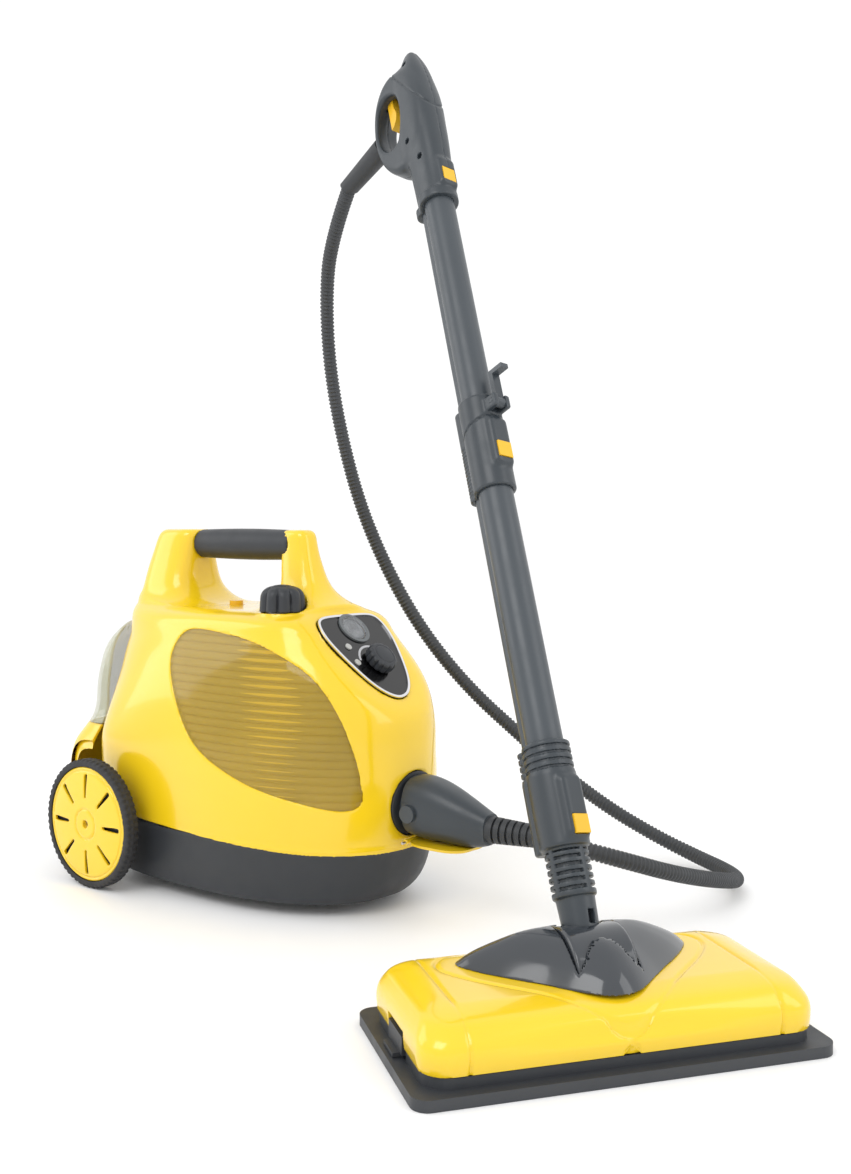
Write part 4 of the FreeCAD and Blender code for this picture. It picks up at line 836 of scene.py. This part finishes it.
def make_ribs(side, name):
    """Ribbed panel behind the glass: level ridges, one grid row for each eighth of a rib."""
    low, high = WINDOW.line[:, 1].min() - 0.5, WINDOW.line[:, 1].max() + 0.5
    rows = np.arange(low, high, RIB_PITCH / 8)
    columns = 60
    xz = []
    for z in rows:
        xs = np.linspace(60, 300, 481)
        inside = xs[WINDOW(xs, np.full(xs.shape, z)) < 1.5]
        a, b = (inside.min(), inside.max()) if len(inside) else (180, 182)
        xz += [(x, z) for x in np.linspace(a, b, columns)]
    xz = np.array(xz)
    wave = np.abs(np.sin(np.pi * (xz[:, 1] - low) / RIB_PITCH)) ** 0.7
    y = side_at(xz[:, 0], xz[:, 1], RIB_FLOOR) + RIB_HEIGHT * wave
    points = np.stack([xz[:, 0], side * y, xz[:, 1]], 1)
    faces = grid_faces(len(rows), columns, False)
    if side < 0:
        faces = [tuple(reversed(f)) for f in faces]
    ribs = new_piece("window_ribs_" + name, place(points), faces, "machine", "rib_yellow")
    thick = ribs.modifiers.new("wall", "SOLIDIFY")
    thick.thickness = 0.0012
    thick.offset = -1
    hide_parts("rib_panel_" + name)


# ---------------------------------------------------------------- machine's smaller pieces
def handle_grip_field(p):
    """Dark carry grip: a barrel from the rear collar, rounded over the front post."""
    x = p[:, 0]
    r = np.hypot(p[:, 1], p[:, 2] - GRIP_Z)
    swell = 14.6 + 1.3 * np.sin(np.pi * np.clip((x - 20) / 140, 0, 1))
    barrel = smooth_max(r - swell, smooth_max(23.0 - x, x - 158.0, 1.0), 3.0)
    return smooth_min(barrel, smooth_max(r - 9.9, smooth_max(-2.5 - x, x - 163.0, 0.5), 0.5), 1.0)


GRIP_GRID = cell_size(1.1)
FINE_GRID = cell_size(1.0)


def make_handle_grip():
    grip = field_piece("carry_grip_sleeve", handle_grip_field, (-6, -20, 320), (172, 20, 364),
                       GRIP_GRID, as_is, "machine", "base")
    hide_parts("carry_grip")


def rim_field(p):
    """Band of the tub that stands above its level top."""
    skin = hull_field(p)
    wall = np.maximum(skin, -(skin + 3.0))
    return smooth_max(wall, np.maximum(TUB_TOP - p[:, 2], p[:, 2] - seam_height(p[:, 0]) + 0.7), 0.4)


def make_tub_rim():
    """The dark tub reaches higher at the back, up to the slanting seam."""
    field_piece("tub_rim", rim_field, (-60, -108, 66), (118, 108, 75), cell_size(0.8), as_is,
                "machine", "base", sharp=50)


COVER = Curves(((84, -123, 88), (98, -123, 90), (112, -121, 90), (134, -114, 84),
                (152, -104, 71), (187, -98, 64), (216, -92, 60), (240, -80, 52),
                (252, -69, 42), (259, -62.5, 34)))
COVER_SPLIT = 150.0
COVER_WALL = 4.0
COVER_PIN = (-116.0, 84.5)


def cover_skin(p):
    """The rear cover's outer surface, bulging back from the housing."""
    x, y, z = p[:, 0], np.abs(p[:, 1]), p[:, 2]
    back, width = COVER(z)
    deep = np.maximum(-57.0 - back, 4.0)
    dx = np.maximum(-57.0 - x, 0.0)
    share = ((dx / deep) ** 3.2 + (y / width) ** 3.2) ** (1 / 3.2)
    around = radial(dx, y, share)
    return smooth_max(around, z - 259.0, 8.0)


def cover_field(p):
    """The cover's shell, cut off where it meets the housing and the tub."""
    x, z = p[:, 0], p[:, 2]
    skin = cover_skin(p)
    f = np.maximum(skin, -(skin + COVER_WALL))
    return smooth_max(smooth_max(f, x + 59.6, 0.6), 84.0 - z, 0.6)


def cover_lower(p):
    """Yellow lower part with its hinge barrel and two slots for the hinge arms."""
    f = smooth_max(cover_field(p), p[:, 2] - COVER_SPLIT + 0.4, 0.8)
    for y in (-62.5, 62.5):
        f = smooth_max(f, -box_field(p, (-140, y - 2.2, 80), (-100, y + 2.2, COVER_PIN[1] + 8), 0.4), 0.4)
    f = smooth_max(f, -(np.hypot(p[:, 0] - COVER_PIN[0], p[:, 2] - COVER_PIN[1]) - 2.9), 0.3)
    barrel = rod_field(p, (COVER_PIN[0], 0, COVER_PIN[1]), 1, 3.0, -60, 60, 0.5)
    bore = np.hypot(p[:, 0] - COVER_PIN[0], p[:, 2] - COVER_PIN[1]) - 1.55
    return np.maximum(smooth_min(f, barrel, 0.8), -bore)


def cover_upper(p):
    return smooth_max(cover_field(p), COVER_SPLIT + 0.4 - p[:, 2], 0.8)


def cover_strip(p):
    """Dark strip behind the middle of the clear part."""
    skin = cover_skin(p)
    strip = np.maximum(skin + 4.0, -(skin + 6.5))
    span = np.maximum(COVER_SPLIT - 10 - p[:, 2], p[:, 2] - 246)
    return smooth_max(smooth_max(strip, np.abs(p[:, 1]) - 17.0, 1.0), np.maximum(span, p[:, 0] + 62), 1.0)


def make_rear_cover():
    low, high = (-126, -84, 80), (-56, 84, 264)
    step = cell_size(1.2)
    lower = field_piece("rear_cover_lower", cover_lower, low, high, step, as_is,
                        "storage_door", "yellow", sharp=45)
    upper = field_piece("rear_cover_clear", cover_upper, low, high, step, as_is,
                        "storage_door", "smoke", sharp=45)
    field_piece("rear_cover_strip", cover_strip, low, high, step, as_is, "storage_door", "base")
    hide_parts("rear_cover")
    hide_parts("rear_cover")


CAP_LOBES = 9


def filler_cap_field(p):
    """Lobed cap, narrower towards a domed top that has a ring groove in it."""
    dx, dy = p[:, 0] - CAP_AT[0], p[:, 1] - CAP_AT[1]
    z = p[:, 2] - DECK_Z
    r = np.hypot(dx, dy)
    lobe = np.abs(np.cos(CAP_LOBES / 2 * np.arctan2(dy, dx)))
    edge = 17.6 + 4.8 * lobe ** 0.5 - 1.6 * np.clip(z / 22, 0, 1)
    f = smooth_max(r - edge, z - 26.4 + 0.014 * r * r, 6.0)
    f = smooth_max(f, 0.8 - z, 0.8)
    ring = np.abs(np.hypot(r - 9.5, z - 25.0)) - 0.9
    f = smooth_max(f, -ring, 0.6)
    return np.maximum(f, -np.maximum(r - 6.05, z - 11.0))


def make_filler_cap():
    low = (CAP_AT[0] - 26, CAP_AT[1] - 26, DECK_Z - 1)
    high = (CAP_AT[0] + 26, CAP_AT[1] + 26, DECK_Z + 27)
    cap = field_piece("filler_cap_lobed", filler_cap_field, low, high, FINE_GRID, as_is, "cap", "base")
    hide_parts("filler_cap")


WHEEL_R = 64.4
WHEEL_OUT = 140.0
WHEEL_IN = 124.0
RIM_R = WHEEL_R - 7
SLOTS = 8
TREADS = 60


def wheel_field(p):
    """Hub seen with its outer face at +Y; the axle is the Y axis."""
    x, y, z = p[:, 0], p[:, 1], p[:, 2] - WHEEL_R
    r = np.hypot(x, z)
    face = WHEEL_OUT - 2.6 * (r / RIM_R) ** 4 - 1.0 * (np.abs(r - 15.0) < 0.9)
    f = smooth_max(smooth_max(r - RIM_R + 0.2, y - face, 2.0), WHEEL_IN + 4.0 - y, 1.0)
    inside = np.maximum(np.maximum(r - RIM_R + 3.0, y - face + 3.2), 12.0 - r)
    f = smooth_max(f, -inside, 1.0)
    sector = 2 * np.pi / SLOTS
    turn = (np.arctan2(z, x) + sector / 2) % sector - sector / 2
    a, b = r * np.cos(turn), np.abs(r * np.sin(turn))
    slot = smooth_max(b - 1.4 - 0.045 * (a - 26), smooth_max(26 - a, a - 50, 3.0), 2.0)
    f = smooth_max(f, -slot, 0.8)
    groove = np.hypot(r - 53.5, y - face) - 0.9
    f = smooth_max(f, -groove, 0.5)
    return np.maximum(f, 4.1 - r)


def slot_shade_field(p):
    """Painted shade: a dark disc inside the hollow wheel, seen through the wheel's slots."""
    x, y, z = p[:, 0], p[:, 1], p[:, 2] - WHEEL_R
    r = np.hypot(x, z)
    return np.maximum(np.maximum(r - RIM_R + 3.4, 12.4 - r), np.abs(y - WHEEL_IN - 8.0) - 1.4)


def tyre_field(p):
    """Tyre with treads cut into both shoulders."""
    x, y, z = p[:, 0], p[:, 1], p[:, 2] - WHEEL_R
    r = np.hypot(x, z)
    middle = (WHEEL_IN + WHEEL_OUT - 1.5) / 2
    half = (WHEEL_OUT - 1.5 - WHEEL_IN) / 2
    tread = np.clip(4 * np.cos(TREADS * np.arctan2(z, x)), -1, 1)
    cut = 0.55 * (1 - tread) * np.clip((np.abs(y - middle) - 1.2) / 1.0, 0, 1)
    f = smooth_max(r - WHEEL_R + cut, np.abs(y - middle) - half, 3.2)
    return np.maximum(f, RIM_R - r)


def make_wheels():
    step = cell_size(1.2)
    low, high = (-66, WHEEL_IN - 2, -2), (66, WHEEL_OUT + 2, 131)
    shapes = {name: field_shape(field, low, high, step) for name, field in
              (("wheel", wheel_field), ("tyre", tyre_field), ("wheel_slot_shade", slot_shade_field))}
    # the dark disc behind the slots takes the charcoal look as painted shade
    looks = {"wheel": "yellow", "tyre": "tyre", "wheel_slot_shade": "base"}
    for side, hand in ((1, "left"), (-1, "right")):
        for name, (points, faces) in shapes.items():
            moved = points * [1, side, 1]
            shown = faces if side > 0 else [tuple(reversed(f)) for f in faces]
            piece = new_piece(name + "_detail_" + hand, place(moved), shown,
                              "wheel_" + hand[0], looks[name], 40)
            if name != "wheel_slot_shade":
                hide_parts(name + "_" + hand)


# ---------------------------------------------------------------- floor head
# by height: length, width, corner radius, how far the front edge is drawn back
COVER_BLOCK = Curves(((15.9, 285, 138, 20, 0), (27, 287, 140, 21, 0), (36, 284, 138, 22, 1),
                      (42.5, 277, 132, 23, 4), (47.3, 264, 120, 23, 8), (50.0, 245, 104, 22, 13)))
BLOCK_TOP = 50.0
HUB_LINE = Outline(((-13, -51), (13, -51), (46, -20), (80, 14), (90, 36), (62, 48), (0, 52),
                    (-62, 48), (-90, 36), (-80, 14), (-46, -20)), step=1.0, margin=60.0)
HUB_SCALE = Curves(((49.0, 1.01), (59.0, 0.87), (68.0, 0.68), (77.0, 0.45), (80.0, 0.36)))
DRUM_R = 35.5
DRUM_HALF = 22.8
DRUM_FRONT = -24.0         # how far below the hinge the drum reaches at its front, in wand axes
END_CREASE = 112.5         # creases across the cover, from its middle
HUB_CREASE = 13.0          # crease round the hub, outside its edge


def bump_shape(t):
    """1 at 0, falling smoothly to 0 at -1 and 1."""
    return np.clip(1 - t * t, 0, 1) ** 2


def block_skin(p):
    """The head cover's rounded block with the scoop in its front."""
    u, v, z = p.T
    length, width, radius, pull = COVER_BLOCK(z)
    a = np.abs(u) - (length / 2 - radius)
    b = np.abs(v - pull / 2) - ((width - pull) / 2 - radius)
    flat = np.hypot(np.maximum(a, 0), np.maximum(b, 0)) + np.minimum(np.maximum(a, b), 0) - radius
    front = np.clip((-v - 40) / 10, 0, 1)
    scoop = 2.6 * bump_shape((z - 33.0) / 8.5) * bump_shape(u / 108.0) * front
    return smooth_max(flat + scoop, z - BLOCK_TOP, 5.0)


def head_cover_field(p):
    """Yellow cover: hollow, creased, with gaps for the cloth clips and the neck."""
    u, v, z = p.T
    skin = block_skin(p)
    f = smooth_max(skin, -np.maximum(skin + 5.0, z - 43.0), 0.4)
    f = np.maximum(f, 16.2 - z)
    f = smooth_max(f, -(np.hypot(np.abs(u) - END_CREASE, skin) - 1.1), 0.7)
    f = smooth_max(f, -(np.hypot(HUB_LINE(u, v) - HUB_CREASE, skin) - 1.3), 0.9)
    f = smooth_max(f, -box_field(np.abs(p), (134.5, -19, 10), (152, 19, 28), 1.0), 1.0)
    f = np.maximum(f, -box_field(p, (-24, -37, 10), (24, 40, 70), 1.0))
    return np.maximum(f, -box_field(p, (-34.5, -10, 10), (34.5, 12, 70), 1.0))


def hub_field(p):
    """Dark dome over the hinge, with a slot for the neck."""
    u, v, z = p.T
    scale = HUB_SCALE(z)[0]
    f = smooth_max(scale * HUB_LINE(u / scale, v / scale), z - 78.0, 8.0)
    f = smooth_max(f, BLOCK_TOP + 0.2 - z, 0.6)
    drum = np.maximum(np.hypot(v, z - HINGE_Z) - DRUM_R - 0.8, np.abs(u) - DRUM_HALF - 0.8)
    f = smooth_max(f, -drum, 1.2)
    return smooth_max(f, -box_field(p, (-17.5, 8, BLOCK_TOP + 0.5), (17.5, 70, 120), 1.0), 1.2)


def neck_field(p):
    """Yoke on the hinge bolt, spigot up the wand's neck, and a drum that closes the hub's slot."""
    u, v, z = p[:, 0], p[:, 1], p[:, 2] - HINGE_Z
    lean = WAND_LEAN_YAW - HEAD_YAW
    axis = np.array([math.sin(WAND_LEAN) * math.cos(lean), math.sin(WAND_LEAN) * math.sin(lean),
                     math.cos(WAND_LEAN)])
    s = u * axis[0] + v * axis[1] + z * axis[2]
    front = v * math.cos(WAND_LEAN) * -1 + z * math.sin(WAND_LEAN)
    off = np.sqrt(np.maximum(u * u + v * v + z * z - s * s, 1e-6))
    around = np.hypot(v, z)
    barrel = smooth_max(around - 9.0, np.abs(u) - 28.0, 1.0)
    spigot = smooth_max(off - 9.0, np.maximum(-s, s - 62.0), 1.0)
    shell = smooth_max(around - DRUM_R, np.abs(u) - DRUM_HALF, 2.5)
    inside = np.maximum(around - DRUM_R + 3.0, np.abs(u) - DRUM_HALF + 3.0)
    keep = np.minimum(6.0 - s, np.maximum(DRUM_FRONT - s, 2.0 - front))
    drum = smooth_max(smooth_max(shell, -inside, 0.5), keep, 0.8)
    drum = smooth_max(drum, -(off - 15.2), 1.0)
    f = smooth_min(smooth_min(barrel, spigot, 2.0), drum, 0.8)
    return np.maximum(f, 3.0 - around)


def make_neck():
    neck = field_piece("neck_yoke_drum", neck_field, (-30, -38, 8), (30, 42, 104), cell_size(1.0),
                       from_head, "neck", "slate_gloss", sharp=45)
    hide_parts("neck_yoke")


def make_head():
    step = cell_size(1.3)
    cover = field_piece("head_cover_creased", head_cover_field, (-147, -74, 14), (147, 74, 53),
                        step, from_head, "machine", "yellow", sharp=45)
    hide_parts("head_cover")
    hub = field_piece("head_hub_dome", hub_field, (-94, -56, 49), (94, 58, 82), step, from_head, "machine",
                      "slate_gloss", sharp=45)
    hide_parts("head_hub")


# ---------------------------------------------------------------- wand
TUBE_R = 14.0
LOWER_TUBE_R = 14.6
BOOT_LOW = 54.0
BOOT_TOP = 90.0
ADAPTER_TOP = 170.0
LOWER_TUBE_TOP = 412.0
COUPLER_LOW = 388.0
COUPLER_TOP = 474.0
HOOK_S = 462.0
GRIP_LOW = 688.0
GRIP_TOP = 872.0
BUTTON_S = (104.0, 419.0, 709.0)


def tube_field(p, radius):
    """Round tube with a narrow channel along its back."""
    x, y = p[:, 0], p[:, 1]
    narrow = radius * 0.48
    back = np.hypot(x + radius + 1.0, y) - narrow
    web = np.maximum(np.abs(y) - narrow, np.maximum(-x - radius - 1.0, x))
    return smooth_min(np.hypot(x, y) - radius, np.minimum(back, web), 2.0)


def span(p, low, high):
    return np.maximum(low - p[:, 2], p[:, 2] - high)


def button_gap(p, s):
    """Recess for a latch button at the place s along the wand."""
    return box_field(p, (8, -7.3, s - 7.3), (26, 7.3, s + 7.3), 1.5)


def adapter_field(p):
    """Wand adapter: neck, ringed boot, housing and grooved collar, with its bores."""
    x, y, s = p.T
    r = np.hypot(x, y)
    neck = smooth_max(r - 13.0 - 1.5 * np.clip((s - 22) / 32, 0, 1), span(p, 22, BOOT_LOW + 2), 1.0)
    slot = box_field(p, (8, -3, 34), (16, 3, 44), 1.5)
    neck = smooth_max(neck, -slot, 0.8)
    boot = smooth_max(r - 16.5, span(p, BOOT_LOW, BOOT_TOP + 2), 2.5)
    pitch = 5.6
    along = (s - BOOT_LOW - 3.4) % pitch - pitch / 2
    groove = np.maximum(np.maximum(np.abs(along) - 1.25, 13.6 - r), span(p, BOOT_LOW + 3.4, BOOT_TOP - 2))
    arch = np.minimum(np.abs(y), np.abs(x))
    boot = smooth_max(boot, -np.maximum(groove, 2.0 - arch), 0.6)
    housing = smooth_max(tube_field(p, 19.0), span(p, BOOT_TOP, ADAPTER_TOP - 23), 2.5)
    collar = smooth_max(tube_field(p, 18.6), span(p, ADAPTER_TOP - 25, ADAPTER_TOP), 1.5)
    ring = (s - ADAPTER_TOP + 22) % 5.5 - 1.2
    grooves = np.maximum(np.abs(ring) - 1.0,
                         np.maximum(-tube_field(p, 17.0), span(p, ADAPTER_TOP - 23, ADAPTER_TOP - 1)))
    collar = smooth_max(collar, -grooves, 0.5)
    panel = box_field(p, (12, -11, 94), (21.2, 11, 143), 6.0)
    f = smooth_min(smooth_min(neck, boot, 1.0),
                   smooth_min(smooth_min(housing, panel, 2.5), collar, 0.6), 1.2)
    f = np.maximum(f, -np.maximum(r - 9.05, span(p, 15, 63)))
    f = np.maximum(f, -np.maximum(r - 7.0, span(p, 60, 122)))
    f = np.maximum(f, -np.maximum(tube_field(p, LOWER_TUBE_R + 0.05), span(p, ADAPTER_TOP - 52, 400)))
    return smooth_max(f, -button_gap(p, BUTTON_S[0]), 0.6)


def coupler_field(p):
    """Sleeve that joins the tubes, with its slanting groove, ribs and the hook's fork."""
    x, y, s = p.T
    sleeve = smooth_max(tube_field(p, 18.0), span(p, COUPLER_LOW, COUPLER_TOP), 2.0)
    slant = s - 0.45 * x - 446.0
    ring = np.maximum(np.abs(slant) - 0.9, -tube_field(p, 17.1))
    sleeve = smooth_max(sleeve, -ring, 0.5)
    knurl = (s - COUPLER_LOW) % 3.4 - 1.7
    ribs = np.maximum(np.maximum(np.abs(knurl) - 0.7, x + 12),
                      np.maximum(-tube_field(p, 17.1), span(p, 393, 438)))
    sleeve = smooth_max(sleeve, -ribs, 0.4)
    panel = box_field(p, (11, -10.5, 405), (20.6, 10.5, 452), 6.0)
    post = box_field(p, (12, -9, HOOK_S - 6), (29, 9, HOOK_S + 6), 2.0)
    fork = box_field(p, (14, -4.3, HOOK_S - 9), (31, 4.3, HOOK_S + 9), 0.5)
    f = smooth_min(smooth_min(sleeve, panel, 2.5), smooth_max(post, -fork, 0.6), 2.0)
    f = np.maximum(f, -np.maximum(np.hypot(x - 24, s - HOOK_S) - 2.0, np.abs(y) - 20))
    f = np.maximum(f, -np.maximum(tube_field(p, LOWER_TUBE_R + 0.05), span(p, 380, LOWER_TUBE_TOP)))
    f = np.maximum(f, -np.maximum(tube_field(p, TUBE_R + 0.05), span(p, LOWER_TUBE_TOP - 1, 480)))
    return smooth_max(f, -button_gap(p, BUTTON_S[1]), 0.6)


# by place along the wand: back x, front x, half width
GRIP = Curves(((GRIP_LOW, -20, 17, 15), (718, -21, 18, 15.5), (750, -22, 20, 17), (780, -24, 20.5, 18),
               (810, -24, 19.5, 17.5), (836, -20, 16.5, 15), (856, -12, 12, 11), (GRIP_TOP, -4, 6, 5)))
LOOP_OUT = (-22.0, 802.0, 37.0, 57.0)
LOOP_IN = (-32.5, 808.0, 20.0, 31.0)
TRIGGER = (-34.0, 845.0)
GRIP_SCREWS = ((3.0, 738.0), (-8.0, 764.0), (0.0, 856.0))
SEAM_FROM = np.array([-12.0, 846.0])
SEAM_TO = np.array([12.0, 806.0])


def oval(p, shape):
    dx, ds = p[:, 0] - shape[0], p[:, 2] - shape[1]
    return radial(dx, ds, np.hypot(dx / shape[2], ds / shape[3]))


def grip_field(p):
    """Wand grip with its finger loop, seams, screw holes and the trigger's gap."""
    x, y, s = p.T
    back, front, width = GRIP(s)
    dx = np.abs(x - (back + front) / 2)
    half = (front - back) / 2
    share = ((dx / half) ** 2.6 + (np.abs(y) / width) ** 2.6) ** (1 / 2.6)
    body = smooth_max(radial(dx, np.abs(y), share), span(p, GRIP_LOW, GRIP_TOP), 4.0)
    loop = smooth_max(oval(p, LOOP_OUT), np.abs(y) - 14.8, 9.0)
    f = smooth_min(body, loop, 6.0)
    f = smooth_max(f, -oval(p, LOOP_IN), 5.0)
    collar = smooth_max(tube_field(p, 18.4), span(p, GRIP_LOW, GRIP_LOW + 9), 1.5)
    panel = box_field(p, (8, -10.5, GRIP_LOW + 8), (21.0, 10.5, GRIP_LOW + 42), 6.0)
    f = smooth_min(smooth_min(f, panel, 3.0), collar, 0.8)
    skin = f
    way = (SEAM_TO - SEAM_FROM) / np.linalg.norm(SEAM_TO - SEAM_FROM)
    off = (x - SEAM_FROM[0]) * way[1] - (s - SEAM_FROM[1]) * way[0]
    f = smooth_max(f, -(np.hypot(off, skin) - 0.8), 0.5)
    middle = np.maximum(np.hypot(y, skin) - 0.5, 700 - s)
    f = smooth_max(f, -middle, 0.4)
    for sx, ss in GRIP_SCREWS:
        hole = np.maximum(np.hypot(x - sx, s - ss) - 3.0, -(skin + 4.0))
        f = smooth_max(f, -np.maximum(hole, y), 0.6)
    f = smooth_max(f, -button_gap(p, BUTTON_S[2]), 0.6)
    gap = box_field(p, (TRIGGER[0] - 8.5, -5.4, 812), (TRIGGER[0] + 8, 5.4, TRIGGER[1] + 5), 1.0)
    f = smooth_max(f, -gap, 0.6)
    f = np.maximum(f, -np.maximum(np.hypot(x - TRIGGER[0], s - TRIGGER[1]) - 2.0, np.abs(y) - 8))
    return np.maximum(f, -np.maximum(tube_field(p, TUBE_R + 0.05), s - GRIP_LOW - 34))


def make_wand():
    for name, field, low, high, nodes in (
            ("adapter_housing", adapter_field, (-32, -22, 20), (24, 22, 172), ("wand_adapter",)),
            ("coupler_sleeve", coupler_field, (-30, -21, 386), (32, 21, 476), ("wand_coupler",)),
            ("wand_grip", grip_field, (-62, -22, 686), (26, 22, 876), ("grip_left", "grip_right"))):
        piece = field_piece(name, field, low, high, FINE_GRID, from_wand, "wand", "slate", sharp=42)
        for node in nodes:
            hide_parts(node)


# ---------------------------------------------------------------- control panel
KNOB_PLACE = PANEL_TOP + 60.0


def knob_field(p):
    """Fluted steam knob on its shaft, in panel axes."""
    dx, dy, h = p[:, 0] - KNOB_PLACE, p[:, 1], p[:, 2] - PANEL_H
    r = np.hypot(dx, dy)
    flute = np.abs(np.cos(7 * np.arctan2(dy, dx))) ** 0.6
    f = smooth_max(r - 13.6 - 1.9 * flute, np.maximum(2.6 - h, h - 15.6 + 0.01 * r * r), 2.5)
    f = smooth_max(f, -(np.hypot(r - 10.5, h - 14.6) - 0.8), 0.5)
    return smooth_min(f, np.maximum(r - 3.0, np.maximum(-15 - h, h - 5)), 0.5)


def arc_band(name, radius, width, height, start, end, centre, look):
    """Flat raised arc on the panel, in panel axes; angles from straight up the slope."""
    steps = 41
    rows = []
    for angle in np.radians(np.linspace(start, end, steps)):
        for r, h in ((radius, -0.6), (radius, height), (radius + width, height), (radius + width, -0.6)):
            rows.append((centre - r * math.cos(angle), r * math.sin(angle), PANEL_H + 1.2 + h))
    last = 4 * (steps - 1)
    faces = grid_faces(steps, 4, True) + [(3, 2, 1, 0), tuple(range(last, last + 4))]
    new_piece(name, place(from_panel(np.array(rows))), faces, "machine", look, sharp=40)


def make_panel():
    step = cell_size(0.8)
    knob = field_piece("steam_knob_fluted", knob_field, (KNOB_PLACE - 18, -18, PANEL_H - 17),
                       (KNOB_PLACE + 18, 18, PANEL_H + 18), step, from_panel, "knob", "base")
    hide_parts("steam_knob")
    arc_band("dial_arc", 19.0, 2.2, 0.25, -75, 75, KNOB_PLACE, "mark")
    arc_band("gauge_ring", 14.2, 3.2, 1.8, -180, 180, GAUGE_PLACE, "gauge")
    arc_band("gauge_scale", 8.6, 1.3, -0.5, -120, 120, GAUGE_PLACE, "mark")


make_camera()
make_studio()
dress_cad()
make_hose()
make_housing()
make_windows()
make_handle_grip()
make_tub_rim()
make_rear_cover()
make_filler_cap()
make_wheels()
make_head()
make_neck()
make_wand()
make_panel()
